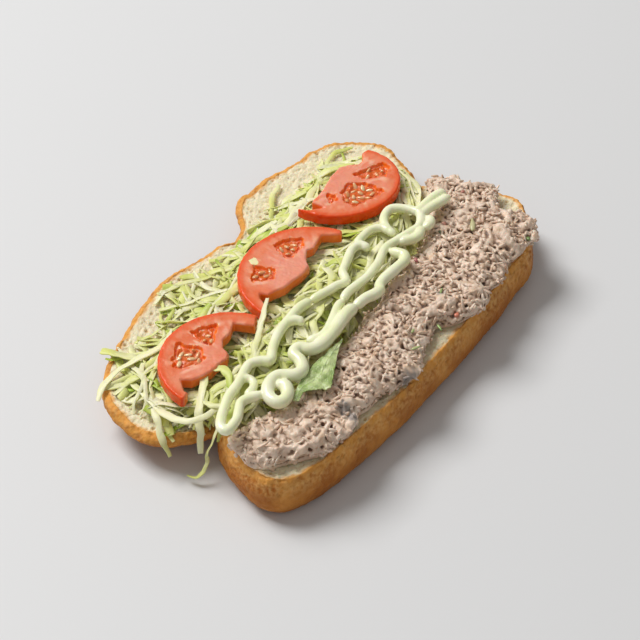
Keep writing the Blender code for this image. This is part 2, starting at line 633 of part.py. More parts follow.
def make_slice(name, spec, group, tools):
    """A tomato slice: a flat curve with rounded edges, hollowed at its seed chambers."""
    curve = bpy.data.curves.new(name, "CURVE")
    curve.dimensions = "2D"
    curve.fill_mode = "BOTH"
    curve.extrude = (SLICE_THICK / 2 - SLICE_ROUND) * MM
    curve.bevel_depth = SLICE_ROUND * MM
    curve.bevel_resolution = 0
    curve.offset = -SLICE_ROUND * MM
    spline = curve.splines.new("POLY")
    spline.points.add(len(OUTLINES[name]) - 1)
    for point, (x, y) in zip(spline.points, OUTLINES[name]):
        point.co = (x * MM, y * MM, 0.0, 1.0)
    spline.use_cyclic_u = True
    blank = bpy.data.objects.new(name + "_blank", curve)
    blank.location.z = (spec["under"] + SLICE_THICK / 2) * MM
    group.objects.link(blank)
    body = evaluated_copy(blank, name + "_body", group)
    body.data.transform(body.matrix_world)
    body.matrix_world.identity()
    body.data.materials.clear()
    body.data.materials.append(material("tomato"))
    top = spec["under"] + SLICE_THICK
    cutters = [chamber_cutter(f"{name}_chamber_{k}", outline, top, tools)
               for k, outline in enumerate(spec["chambers"])]
    for wedge in cutters:
        boolean(body, "DIFFERENCE", other=wedge)
    if name == BIT_SLICE:
        cutters.append(add_bit(body, top, tools))
    piece = evaluated_copy(body, name, group)
    piece.name = name
    for tool in cutters:
        bpy.data.objects.remove(tool, do_unlink=True)
    return piece


def make_rope(name, radius, route, tools):
    """One piped rope of mayonnaise, lying on the bed."""
    path = smooth_curve(route, ROPE_STEP, closed=False)
    curve = bpy.data.curves.new(name, "CURVE")
    curve.dimensions = "3D"
    curve.bevel_depth = radius * MM
    curve.bevel_resolution = 1
    curve.use_fill_caps = True
    spline = curve.splines.new("POLY")
    spline.points.add(len(path) - 1)
    for number, (point, (x, y)) in enumerate(zip(spline.points, path)):
        highest = max(bed(x + dx, y + dy) for dx in (-2, 0, 2) for dy in (-2, 0, 2))
        point.co = (x * MM, y * MM, (highest + radius + GAP) * MM, 1.0)
        point.radius = ROPE_TIP if number in (0, len(path) - 1) else 1.0
    rope = bpy.data.objects.new(name, curve)
    tools.objects.link(rope)
    return evaluated_copy(rope, name + "_mesh", tools)


def make_mayonnaise(group, tools):
    """The piped mayonnaise: all ropes joined."""
    ropes = make_collection("ropes", tools)
    first = make_rope("rope_0", *MAYO_ROPES[0], group)
    for number, (radius, route) in enumerate(MAYO_ROPES[1:], 1):
        make_rope(f"rope_{number}", radius, route, ropes)
    boolean(first, "UNION", "MANIFOLD", others=ropes)
    piped = evaluated_copy(first, "mayonnaise", group)
    piped.name = "mayonnaise"
    piped.data.materials.clear()
    piped.data.materials.append(material("mayonnaise"))
    remove_collection(ropes)
    return piped


def make_leaf(group):
    """The torn leaf under the mayonnaise: a wavy sheet given a thickness."""
    points = []
    for number, (left, right) in enumerate(LEAF_STATIONS):
        for k in range(LEAF_ACROSS + 1):
            spot = np.array(left, float) + (np.array(right, float) - left) * k / LEAF_ACROSS
            turn = LEAF_WAVE_TURNS[0] * number + LEAF_WAVE_TURNS[1] * k
            ripple = LEAF_WAVE * (0.5 + 0.5 * math.sin(turn))
            points.append((spot[0], spot[1], bed(*spot) + GAP + LEAF_THICK + ripple))
    row = LEAF_ACROSS + 1
    faces = [(a, a + 1, a + row + 1, a + row) for number in range(len(LEAF_STATIONS) - 1)
             for a in range(number * row, number * row + LEAF_ACROSS)]
    sheet = mesh_object("lettuce_leaf", points, faces, group, "lettuce_leaf")
    skin = sheet.modifiers.new("Solidify", "SOLIDIFY")
    skin.thickness = LEAF_THICK * MM
    skin.offset = 0.0
    return sheet


def main():
    """Build every piece of the sandwich."""
    clear_scene()
    group = make_collection("submarine_sandwich")
    tools = make_collection("cutters")
    make_bread(group, tools)
    make_tuna(group)
    make_lettuce(group, tools)
    for name, spec in SLICES.items():
        make_slice(name, spec, group, tools)
    make_mayonnaise(group, tools)
    make_leaf(group)


main()
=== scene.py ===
# %% [markdown]
# # An opened submarine sandwich
# The sandwich is a long roll that is split along its side and opened flat. One half carries tuna
# salad, the other shredded lettuce and three tomato slices, and green-white mayonnaise is piped
# along the middle. The solid model of it is loaded first, and every piece made below is
# fitted to that model, in metres, with +Z up.

# %% Load the frame
import itertools
import json
import math

import bmesh
import bpy
import numpy as np
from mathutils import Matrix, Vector
from mathutils.bvhtree import BVHTree

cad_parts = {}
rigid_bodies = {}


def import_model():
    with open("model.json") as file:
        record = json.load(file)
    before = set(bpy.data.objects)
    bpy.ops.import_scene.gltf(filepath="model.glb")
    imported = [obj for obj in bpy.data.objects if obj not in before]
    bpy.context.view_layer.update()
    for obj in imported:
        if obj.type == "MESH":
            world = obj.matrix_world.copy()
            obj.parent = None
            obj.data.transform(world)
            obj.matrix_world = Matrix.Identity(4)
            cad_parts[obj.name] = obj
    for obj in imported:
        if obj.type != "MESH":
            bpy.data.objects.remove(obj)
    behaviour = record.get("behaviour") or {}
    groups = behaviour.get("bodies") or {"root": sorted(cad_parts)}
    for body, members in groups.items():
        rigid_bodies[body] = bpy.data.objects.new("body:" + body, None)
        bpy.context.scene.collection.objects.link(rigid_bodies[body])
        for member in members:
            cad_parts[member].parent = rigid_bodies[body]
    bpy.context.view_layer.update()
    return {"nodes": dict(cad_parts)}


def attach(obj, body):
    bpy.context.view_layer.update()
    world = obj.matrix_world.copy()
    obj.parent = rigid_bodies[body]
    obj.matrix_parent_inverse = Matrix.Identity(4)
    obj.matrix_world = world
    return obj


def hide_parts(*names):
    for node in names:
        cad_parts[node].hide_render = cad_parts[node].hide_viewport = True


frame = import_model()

MM = 0.001

# %% [markdown]
# ## Camera and light
# The photograph looks down on the sandwich from about 43 degrees, through a long lens, with the roll
# running away to the upper right. A long lens far away keeps the two ends nearly the same size. The
# light is one large soft window behind the sandwich and to its left. A faint lamp by the camera and
# pale surroundings fill the shadows.

# %% Camera
CAMERA_AT = Vector((-0.6496, -0.4287, 0.7420))
CAMERA_AIM = Vector((-0.0130, -0.0106, 0.01925))
CAMERA_LENS = 112.5
CAMERA_SENSOR = 36.0


def linked(name, data):
    """A new object in the scene that holds the data."""
    made = bpy.data.objects.new(name, data)
    bpy.context.scene.collection.objects.link(made)
    return made


camera_data = bpy.data.cameras.new("camera")
camera_data.lens = CAMERA_LENS
camera_data.sensor_width = CAMERA_SENSOR
camera = linked("camera", camera_data)
camera.location = CAMERA_AT
camera.rotation_euler = (CAMERA_AIM - CAMERA_AT).to_track_quat("-Z", "Y").to_euler()
bpy.context.scene.camera = camera
print("camera looks down", round(math.degrees(math.asin((CAMERA_AT - CAMERA_AIM).normalized().z)), 1))

# %% Light and surroundings
KEY_AT = Vector((0.12, 2.28, 2.76))
KEY_SIZE = 1.72
KEY_WATTS = 122.0
FILL_AT = Vector((-0.9, -0.5, 0.9))
FILL_SIZE = 1.2
FILL_WATTS = 1.0
SURROUND = (1.0, 0.985, 0.965, 1.0)
SURROUND_STRENGTH = 0.27

bpy.context.scene.view_settings.view_transform = "Standard"


def soft_light(name, place, size, watts):
    """A square lamp that faces the sandwich."""
    data = bpy.data.lights.new(name, "AREA")
    data.shape = "SQUARE"
    data.size = size
    data.energy = watts
    lamp = linked(name, data)
    lamp.location = place
    lamp.rotation_euler = (-place).to_track_quat("-Z", "Y").to_euler()


soft_light("window", KEY_AT, KEY_SIZE, KEY_WATTS)
soft_light("bounce", FILL_AT, FILL_SIZE, FILL_WATTS)
world = bpy.data.worlds.new("surroundings")
world.use_nodes = True
background = world.node_tree.nodes["Background"].inputs
background["Color"].default_value = SURROUND
background["Strength"].default_value = SURROUND_STRENGTH
bpy.context.scene.world = world
print("lamps placed")

# %% [markdown]
# ## Helpers for meshes
# Shapes are worked out as arrays of points in millimetres and become metres when the mesh is made.
# Two kinds of noise do most of the sculpting. Lattice noise is smooth and gives lumps and waves.
# Cell noise gives the distance to scattered points, which makes pores, pits and spots.

# %% Mesh helpers
WELD_GAP = 0.005


def mesh_object(name, points, faces, finish):
    """A mesh object at the origin, from points in millimetres."""
    mesh = bpy.data.meshes.new(name)
    mesh.from_pydata((np.asarray(points) * MM).tolist(), [], faces)
    mesh.validate()
    mesh.shade_smooth()
    mesh.materials.append(finish)
    return linked(name, mesh)


def vertex_rows(mesh, key):
    """Three numbers of each vertex, one row for each."""
    flat = np.empty(len(mesh.vertices) * 3, np.float32)
    mesh.vertices.foreach_get(key, flat)
    return flat.reshape(-1, 3).astype(float)


def points_of(mesh):
    """The mesh's vertices in millimetres."""
    return vertex_rows(mesh, "co") / MM


def normals_of(mesh):
    """The mesh's vertex normals."""
    return vertex_rows(mesh, "normal")


def put_points(mesh, points):
    """Move the mesh's vertices to points in millimetres."""
    mesh.vertices.foreach_set("co", (np.asarray(points) * MM).astype(np.float32).ravel())
    mesh.update()


def paint(mesh, name, values):
    """Store one number for each vertex, for the materials to read."""
    layer = mesh.attributes.new(name, "FLOAT", "POINT")
    layer.data.foreach_set("value", np.asarray(values, np.float32))


def hollows(mesh, passes):
    """How far each vertex lies behind its surroundings, along its own normal, in millimetres."""
    ends = np.empty(len(mesh.edges) * 2, dtype=np.int32)
    mesh.edges.foreach_get("vertices", ends)
    first, second = ends[::2], ends[1::2]
    points = points_of(mesh)
    count = np.bincount(ends, minlength=len(points))
    smooth = points.copy()
    for _ in range(passes):
        smooth = np.column_stack([
            (np.bincount(first, smooth[second, axis], len(points))
             + np.bincount(second, smooth[first, axis], len(points))) / count for axis in range(3)])
    return ((smooth - points) * normals_of(mesh)).sum(axis=1)


def settle(source, name):
    """Replace an object by a plain mesh of what its modifiers make."""
    bpy.context.view_layer.update()
    graph = bpy.context.evaluated_depsgraph_get()
    mesh = bpy.data.meshes.new_from_object(source.evaluated_get(graph), depsgraph=graph)
    mesh.name = name
    bpy.data.objects.remove(source, do_unlink=True)
    return linked(name, mesh)


def mesh_of_shape(shape, name):
    """A new mesh from an edited shape, which is then let go."""
    mesh = bpy.data.meshes.new(name)
    shape.to_mesh(mesh)
    shape.free()
    return mesh


def welded_copy(node, name):
    """A copy of a solid of the frame, with its loose triangles joined."""
    made = linked(name, frame["nodes"][node].data.copy())
    made.data.materials.clear()
    for layer in [a.name for a in made.data.attributes if not a.is_required and not a.is_internal]:
        made.data.attributes.remove(made.data.attributes[layer])
    shape = bmesh.new()
    shape.from_mesh(made.data)
    bmesh.ops.remove_doubles(shape, verts=shape.verts, dist=WELD_GAP * MM)
    shape.to_mesh(made.data)
    shape.free()
    return made


def fine_skin(item, voxel, smoothing):
    """One closed skin round an object, voxel millimetres fine, with its facets smoothed."""
    grid = item.modifiers.new("Skin", "REMESH")
    grid.mode = "VOXEL"
    grid.voxel_size = voxel * MM
    soft = item.modifiers.new("Soften", "SMOOTH")
    soft.iterations = smoothing
    return settle(item, item.name)


def thickened(item, thickness, offset):
    """A sheet with its thickness, in millimetres, as a plain mesh."""
    wall = item.modifiers.new("Body", "SOLIDIFY")
    wall.thickness = thickness * MM
    wall.offset = offset
    return settle(item, item.name)


print("mesh helpers ready")

# %% Noise helpers
def shuffled(order, at):
    """One of 256 entries for each cell of a lattice, mixed from its three whole numbers."""
    return order[(order[(order[at[:, 0] & 255] + at[:, 1]) & 255] + at[:, 2]) & 255]


def lattice_noise(points, size, seed=0):
    """Smooth noise of about -1 to 1 whose lumps are size millimetres wide."""
    draw = np.random.default_rng(seed)
    order = draw.permutation(256)
    slopes = draw.normal(size=(256, 3))
    slopes /= np.linalg.norm(slopes, axis=1)[:, None]
    place = np.asarray(points, float) / size
    corner = np.floor(place).astype(int)
    part = place - corner
    fade = part ** 3 * (part * (part * 6 - 15) + 10)
    total = np.zeros(len(place))
    for step in itertools.product((0, 1), repeat=3):
        pick = shuffled(order, corner + step)
        weight = np.prod(np.where(step, fade, 1 - fade), axis=1)
        total += weight * np.einsum("ij,ij->i", slopes[pick], part - step)
    return total * 1.6


def mixed_noise(points, *layers):
    """Several lattice noises added up, each given by its size, its seed and its share."""
    return sum(lattice_noise(points, size, seed) * share for size, seed, share in layers)


def cell_noise(points, size, seed=0):
    """Distance, in cells, to the nearest of points scattered one to a cell, and that point's number."""
    draw = np.random.default_rng(seed)
    order = draw.permutation(256)
    spots = draw.uniform(size=(256, 3))
    own = draw.uniform(size=256)
    place = np.asarray(points, float) / size
    corner = np.floor(place).astype(int)
    part = place - corner
    nearest = np.full(len(place), 9.0)
    number = np.zeros(len(place))
    for step in itertools.product((-1, 0, 1), repeat=3):
        pick = shuffled(order, corner + step)
        gap = np.linalg.norm(spots[pick] + step - part, axis=1)
        number = np.where(gap < nearest, own[pick], number)
        nearest = np.minimum(nearest, gap)
    return nearest, number


def ease(low, high, value):
    """0 below low, 1 above high, and a smooth step between them."""
    t = np.clip((np.asarray(value, float) - low) / (high - low), 0.0, 1.0)
    return t * t * (3 - 2 * t)


print("noise ready:", np.round(lattice_noise([[1.0, 2.0, 3.0]], 5.0), 3))

# %% [markdown]
# ## Helpers for materials
# Each finish is a small node tree. A shared group, Speckle, lays two sizes of noise over Object
# coordinates and gives back a soft mask, a fine mask and a height. Every finish uses it with sizes of
# its own, so one group is tuned once and used everywhere.

# %% Material helpers
def feed(tree, node, inputs):
    """Give a node's inputs, by name or number, their values, or link them to other nodes' sockets."""
    for key, value in inputs.items():
        if isinstance(value, bpy.types.NodeSocket):
            tree.links.new(value, node.inputs[key])
        else:
            node.inputs[key].default_value = value


def add_node(tree, kind, inputs=None, **settings):
    """A node of a tree, with its settings and its inputs."""
    made = tree.nodes.new(kind)
    for key, value in settings.items():
        setattr(made, key, value)
    feed(tree, made, inputs or {})
    return made


def blend_colours(tree, mask, low, high):
    """A colour between low and high, by the mask. Each may be a colour or a socket."""
    low, high = ((*value, 1.0) if isinstance(value, tuple) else value for value in (low, high))
    return add_node(tree, "ShaderNodeMix", {0: mask, 6: low, 7: high}, data_type="RGBA").outputs[2]


def reading(tree, name):
    """The number that paint stored at each vertex."""
    return add_node(tree, "ShaderNodeAttribute", attribute_name=name).outputs["Fac"]


def remap(tree, value, low, high):
    """A socket's value, as 0 at low and 1 at high."""
    inputs = {"Value": value, "From Min": low, "From Max": high}
    return add_node(tree, "ShaderNodeMapRange", inputs).outputs["Result"]


def arithmetic(tree, operation, first, second):
    """A sum, product or the like of two sockets or numbers."""
    return add_node(tree, "ShaderNodeMath", {0: first, 1: second}, operation=operation).outputs[0]


def tinted(tree, colour, *layers):
    """A colour with others laid over it in turn, each as a mask, its share and the colour.

    A mask is a socket, or the name of what paint stored.
    """
    for mask, share, over in layers:
        if isinstance(mask, str):
            mask = reading(tree, mask)
        if share != 1:
            mask = arithmetic(tree, "MULTIPLY", mask, share)
        colour = blend_colours(tree, mask, colour, over)
    return colour


def build_speckle():
    """The shared group: soft and fine noise masks and a height, over Object coordinates."""
    tree = bpy.data.node_groups.new("Speckle", "ShaderNodeTree")
    for name, value in (("Soft Scale", 60.0), ("Fine Scale", 600.0)):
        socket = tree.interface.new_socket(name, in_out="INPUT", socket_type="NodeSocketFloat")
        socket.default_value = value
    for name in ("Soft", "Fine", "Height"):
        tree.interface.new_socket(name, in_out="OUTPUT", socket_type="NodeSocketFloat")
    inside = add_node(tree, "NodeGroupInput").outputs
    place = add_node(tree, "ShaderNodeTexCoord").outputs["Object"]
    soft, fine = (add_node(tree, "ShaderNodeTexNoise", {
        "Vector": place, "Scale": inside[name], "Detail": detail}).outputs["Fac"]
        for name, detail in (("Soft Scale", 4.0), ("Fine Scale", 5.0)))
    both = arithmetic(tree, "ADD", arithmetic(tree, "MULTIPLY", soft, 0.5), fine)
    add_node(tree, "NodeGroupOutput", {"Soft": remap(tree, soft, 0.35, 0.65),
                                       "Fine": remap(tree, fine, 0.35, 0.65), "Height": both})
    return tree


SPECKLE = build_speckle()


def new_finish(name, soft, fine):
    """A material, its tree, and what the Speckle group gives at this finish's sizes."""
    finish = bpy.data.materials.new(name)
    finish.use_nodes = True
    tree = finish.node_tree
    sizes = {"Soft Scale": soft, "Fine Scale": fine}
    return finish, tree, add_node(tree, "ShaderNodeGroup", sizes, node_tree=SPECKLE).outputs


def complete(finish, bumps, inputs, glow=()):
    """Feed a material's shader its inputs, its bumps and how far light runs under the surface.

    The bumps are a height, a strength and a distance. The glow is a weight, a radius and a scale.
    """
    tree = finish.node_tree
    bump = add_node(tree, "ShaderNodeBump", dict(zip(("Height", "Strength", "Distance"), bumps)))
    under = dict(zip(("Subsurface Weight", "Subsurface Radius", "Subsurface Scale"), glow))
    feed(tree, tree.nodes["Principled BSDF"], {**inputs, **under, "Normal": bump.outputs["Normal"]})
    return finish


print("shared group inputs:", [s.name for s in SPECKLE.interface.items_tree if s.in_out == "INPUT"])

# %% [markdown]
# ## Floor
# A wide pale sheet lies under the sandwich and catches its shadow. It only stages the picture and is no
# piece of the sandwich.

# %% Floor
FLOOR_COLOUR = (0.72, 0.72, 0.72, 1.0)
FLOOR_SIDE = 6.0

floor_finish, _, floor_speckle = new_finish("pale_floor", 3.0, 80.0)
complete(floor_finish, (floor_speckle["Fine"], 0.05, 0.0002), {"Base Color": FLOOR_COLOUR, "Roughness": 0.55})
reach = FLOOR_SIDE / 2 / MM
floor = mesh_object("floor", [(-reach, -reach, 0), (reach, -reach, 0), (reach, reach, 0), (-reach, reach, 0)],
                    [(0, 1, 2, 3)], floor_finish)
print("floor", FLOOR_SIDE, "m wide")

# %% [markdown]
# ## Geometry Nodes helpers
# Shreds, fibres, flakes and seeds repeat hundreds of times, so Geometry Nodes make them. Each tree has
# named inputs. A modifier's inputs are set by the socket's identifier before the object is first
# evaluated, and the result is turned into a plain mesh.

# %% Geometry Nodes helpers
def new_geometry_tree(name, inputs):
    """A Geometry Nodes tree and its inputs: the geometry and the named ones (socket kind, value)."""
    tree = bpy.data.node_groups.new(name, "GeometryNodeTree")
    tree.interface.new_socket("Geometry", in_out="INPUT", socket_type="NodeSocketGeometry")
    for label, (kind, value) in inputs.items():
        socket = tree.interface.new_socket(label, in_out="INPUT", socket_type="NodeSocket" + kind)
        if value is not None:
            socket.default_value = value
    tree.interface.new_socket("Geometry", in_out="OUTPUT", socket_type="NodeSocketGeometry")
    return tree, tree.nodes.new("NodeGroupInput").outputs


def end_tree(tree, inside, geometry):
    """End a tree in real geometry with its material set."""
    real = add_node(tree, "GeometryNodeRealizeInstances", {0: geometry}).outputs[0]
    dressed = add_node(tree, "GeometryNodeSetMaterial", {"Geometry": real, "Material": inside["Finish"]})
    add_node(tree, "NodeGroupOutput", {0: dressed.outputs[0]})
    return tree


def stored(tree, name):
    """The number that paint stored, inside a geometry tree."""
    made = add_node(tree, "GeometryNodeInputNamedAttribute", {"Name": name}, data_type="FLOAT")
    return made.outputs["Attribute"]


def grow(carrier, tree, name, **values):
    """Run a Geometry Nodes tree on a carrier, with its inputs by name, and keep the plain mesh."""
    modifier = carrier.modifiers.new(name, "NODES")
    modifier.node_group = tree
    for item in tree.interface.items_tree:
        if item.item_type == "SOCKET" and item.in_out == "INPUT" and item.name in values:
            modifier[item.identifier] = values[item.name]
    made = settle(carrier, name)
    made.data.shade_smooth()
    return made


def build_scatter():
    """Bits of a few shapes, strewn over a surface where its own room attribute lets them."""
    tree, inside = new_geometry_tree("Strew", {
        "Shapes": ("Collection", None), "Density": ("Float", 1.0e5), "Least Gap": ("Float", 0.001),
        "Smallest": ("Float", 0.7), "Largest": ("Float", 1.3), "Tilt": ("Float", 0.5),
        "Sunk": ("Float", 0.0), "Seed": ("Int", 1), "Finish": ("Material", None)})
    seed = inside["Seed"]
    strew = add_node(tree, "GeometryNodeDistributePointsOnFaces", {
        "Mesh": inside["Geometry"], "Distance Min": inside["Least Gap"], "Density Max": inside["Density"],
        "Density Factor": stored(tree, "room"), "Seed": seed}, distribute_method="POISSON").outputs
    shapes = add_node(tree, "GeometryNodeCollectionInfo", {
        "Collection": inside["Shapes"], "Separate Children": True, "Reset Children": True},
        transform_space="ORIGINAL").outputs[0]
    tilt = inside["Tilt"]
    back = arithmetic(tree, "MULTIPLY", tilt, -1.0)
    least = add_node(tree, "ShaderNodeCombineXYZ", {"X": back, "Y": back, "Z": -math.pi}).outputs[0]
    most = add_node(tree, "ShaderNodeCombineXYZ", {"X": tilt, "Y": tilt, "Z": math.pi}).outputs[0]
    angles = add_node(tree, "FunctionNodeRandomValue", {0: least, 1: most, "Seed": seed},
                      data_type="FLOAT_VECTOR").outputs[0]
    turn = add_node(tree, "FunctionNodeEulerToRotation", {0: angles}).outputs[0]
    rotation = add_node(tree, "FunctionNodeRotateRotation", {
        "Rotation": strew["Rotation"], "Rotate By": turn}, rotation_space="LOCAL").outputs[0]
    size = add_node(tree, "FunctionNodeRandomValue", {
        2: inside["Smallest"], 3: inside["Largest"], "Seed": seed}, data_type="FLOAT").outputs[1]
    placed = add_node(tree, "GeometryNodeInstanceOnPoints", {
        "Points": strew["Points"], "Instance": shapes, "Pick Instance": True, "Rotation": rotation,
        "Scale": size}).outputs[0]
    down = add_node(tree, "ShaderNodeCombineXYZ", {"Z": inside["Sunk"]}).outputs[0]
    sunk = add_node(tree, "GeometryNodeTranslateInstances", {"Instances": placed, "Translation": down})
    tone = add_node(tree, "FunctionNodeRandomValue", data_type="FLOAT").outputs[1]
    toned = add_node(tree, "GeometryNodeStoreNamedAttribute", {
        "Geometry": sunk.outputs[0], "Name": "tone", "Value": tone}, data_type="FLOAT", domain="INSTANCE")
    return end_tree(tree, inside, toned.outputs[0])


STREW = build_scatter()
STREW_DENSITY = 3.0e5


def strewn(surface, name, shapes, gap, **values):
    """Shapes lying over a surface, at least a gap apart."""
    return grow(linked(name + "_carrier", surface.data.copy()), STREW, name, Shapes=shapes,
                Density=STREW_DENSITY, **{"Least Gap": gap * MM}, **values)


def drop_shapes(group):
    """Remove the shapes once their scattering is done."""
    for item in list(group.objects):
        bpy.data.objects.remove(item, do_unlink=True)
    bpy.data.collections.remove(group)


def lump(name, length, width, height, seed, roughness):
    """A small uneven ellipsoid in millimetres, for fibres, bits and seeds."""
    shape = bmesh.new()
    bmesh.ops.create_icosphere(shape, subdivisions=2, radius=1.0)
    mesh = mesh_of_shape(shape, name)
    round_points = points_of(mesh) * MM
    uneven = 1 + roughness * lattice_noise(round_points + seed * 7.3, 0.9, seed)
    put_points(mesh, round_points * uneven[:, None] * np.array((length, width, height)) / 2)
    mesh.shade_smooth()
    return linked(name, mesh)


def lump_collection(name, sizes, first_seed, roughness):
    """Lumps of the given sizes in a collection of their own, outside the scene, for scattering."""
    group = bpy.data.collections.new(name)
    for k, size in enumerate(sizes):
        item = lump(f"{name}_{k}", *size, k + first_seed, roughness)
        bpy.context.scene.collection.objects.unlink(item)
        group.objects.link(item)
    return group


print("geometry tree inputs:", [s.name for s in STREW.interface.items_tree if s.in_out == "INPUT"])

# %% [markdown]
# ## Height maps
# What lies on top has to know how high the food under it is. A grid of rays is dropped on a solid of
# the frame and gives its top, or is sent up from below and gives its underside. The lettuce shreds
# use these maps to come to rest on each other and to stay under the tomato.

# %% Height maps
MAP_STEP = 1.0
MAP_X = np.arange(-145.0, 145.0, MAP_STEP)
MAP_Y = np.arange(-95.0, 95.0, MAP_STEP)
NOTHING = -99.0
RAY_START = 300.0


def height_map(objects, from_above=True):
    """Height of the objects' top, or underside, over the map's grid, in millimetres."""
    found = np.full((len(MAP_X), len(MAP_Y)), NOTHING if from_above else -NOTHING)
    start = RAY_START if from_above else -RAY_START
    ahead = Vector((0, 0, -1)) if from_above else Vector((0, 0, 1))
    better = max if from_above else min
    for item in objects:
        points = points_of(item.data)
        tree = BVHTree.FromPolygons(points.tolist(), [tuple(face.vertices) for face in item.data.polygons])
        for i, x in enumerate(MAP_X):
            if x < points[:, 0].min() or x > points[:, 0].max():
                continue
            for j, y in enumerate(MAP_Y):
                hit = tree.ray_cast(Vector((x, y, start)), ahead)[0]
                if hit is not None:
                    found[i, j] = better(found[i, j], hit.z)
    return found


def look_up(grid, x, y):
    """A map's values at points, from the nearest of its cells."""
    i = np.clip(np.round((np.asarray(x) - MAP_X[0]) / MAP_STEP).astype(int), 0, len(MAP_X) - 1)
    j = np.clip(np.round((np.asarray(y) - MAP_Y[0]) / MAP_STEP).astype(int), 0, len(MAP_Y) - 1)
    return grid[i, j]


def spread(grid, reach, lowest=False):
    """The highest, or lowest, value within reach cells."""
    pick = np.minimum if lowest else np.maximum
    result = grid.copy()
    for shift in range(1, reach + 1):
        for axis in (0, 1):
            result = pick(result, pick(np.roll(result, shift, axis), np.roll(result, -shift, axis)))
    return result


nodes = frame["nodes"]
lettuce_map = height_map([nodes["shredded_lettuce"]])
tomato_nodes = [nodes[f"tomato_slice_{k}"] for k in (1, 2, 3)]
ceiling_map = height_map(tomato_nodes + [nodes["mayonnaise"], nodes["lettuce_leaf"]], from_above=False)
tuna_map = height_map([nodes["tuna_salad"]])
bread_map = height_map([nodes["bread_roll"]])
print("highest lettuce", round(lettuce_map.max(), 1), "lowest topping", round(ceiling_map.min(), 1))

# %% [markdown]
# ## The roll
# Each half of the roll is a stack of rings: up the browned crust, over the rim and in across the
# cut crumb. Its outline comes from the solid model, read at the height where that half is widest, so it
# fits without any measuring. The rings are then roughened: the rim rises and falls, the crust
# wrinkles, and pores sink into the crumb.

# %% Outlines of the roll
HEEL_WIDEST = 8.0
LID_WIDEST = 17.6
HEEL_HINGE = [(98, 5), (60, 4), (0, 1), (-60, -4), (-98, -8)]
LID_HINGE = [(104, -6), (60, -9), (0, -12), (-60, -16), (-98, -17)]
HEEL_SPINE = ((-86, -40), (86, -38))
LID_SPINE = ((-84, 30), (84, 32))
RING_POINTS = 700


def ring_in_frame(height, hinge, spine):
    """The solid roll's corners at a height, with the hinge side, in order round the spine's middle."""
    corners = points_of(nodes["bread_roll"].data)
    level = np.unique(np.round(corners[np.abs(corners[:, 2] - height) < 0.02][:, :2], 2), axis=0)
    level = np.vstack([level, hinge])
    middle = np.mean(spine, axis=0)
    return level[np.argsort(np.arctan2(*(level - middle).T[::-1]))]


def rows_at(places, known, rows):
    """Rows of numbers at places between the known ones."""
    return np.column_stack([np.interp(places, known, column) for column in rows.T])


def rounded(values, passes, first=1):
    """Values with their corners smoothed, from the given first one to the last but one."""
    values = np.array(values, float)
    for _ in range(passes):
        values[first:-1] = (values[first - 1:-2] + 2 * values[first:-1] + values[first + 1:]) / 4
    return values


def smooth_path(given):
    """Close points on a smooth curve through all but the first and last given, and how far along each is."""
    p0, p1, p2, p3 = (given[k:len(given) - 3 + k, None, :] for k in range(4))
    t = np.linspace(0, 1, 12, endpoint=False)[None, :, None]
    fine = 0.5 * (2 * p1 + (p2 - p0) * t + (2 * p0 - 5 * p1 + 4 * p2 - p3) * t ** 2
                  + (3 * p1 - p0 - 3 * p2 + p3) * t ** 3)
    fine = np.vstack([fine.reshape(-1, given.shape[1]), given[-2:-1]])
    return fine, np.concatenate([[0], np.cumsum(np.linalg.norm(np.diff(fine, axis=0), axis=1))])


def smooth_loop(points, count):
    """Evenly spaced points on a smooth closed curve through the given ones."""
    fine, along = smooth_path(np.vstack([points[-1:], points, points[:2]]))
    return rows_at(np.linspace(0, along[-1], count, endpoint=False), along, fine)


def toward_spine(loop, spine, share):
    """A loop's points moved a share of the way to the spine."""
    start = np.array(spine[0], float)
    run = np.array(spine[1], float) - start
    place = np.clip(((loop - start) @ run) / (run @ run), 0, 1)
    return loop + (start + place[:, None] * run - loop) * np.reshape(share, (-1, 1))


heel_loop = smooth_loop(ring_in_frame(HEEL_WIDEST, HEEL_HINGE, HEEL_SPINE), RING_POINTS)
lid_loop = smooth_loop(ring_in_frame(LID_WIDEST, LID_HINGE, LID_SPINE), RING_POINTS)
for label, loop in (("heel", heel_loop), ("lid", lid_loop)):
    print(label, "outline", np.round(np.ptp(loop, axis=0), 1))

# %% Shape of one half
HEEL_PROFILE = [(0.34, 0.0), (0.2, 0.0), (0.07, 2.2), (0.0, 8.0), (0.015, 15.0), (0.06, 21.0),
                (0.115, 24.6)]
LID_PROFILE = [(0.74, 0.0), (0.52, 0.9), (0.27, 5.0), (0.1, 10.0), (0.02, 13.8), (0.004, 16.0),
               (0.03, 18.2), (0.085, 19.3)]
CRUST_RINGS = 40
CRUMB_RINGS = 60
CRUMB_START, CRUMB_END = 0.012, 0.97
RIM_HEIGHT = 7.0
RIM_STEPS = 10
RIM_WAVE = 1.5
CRUMB_DIP = 1.0
CRACK_DEEP = 0.7
LIP_WIDTH = 1.3
# The size, depth and seed of each kind of pore.
PORES = ((4.2, 1.5, 6), (2.3, 1.0, 7), (1.4, 0.6, 13))


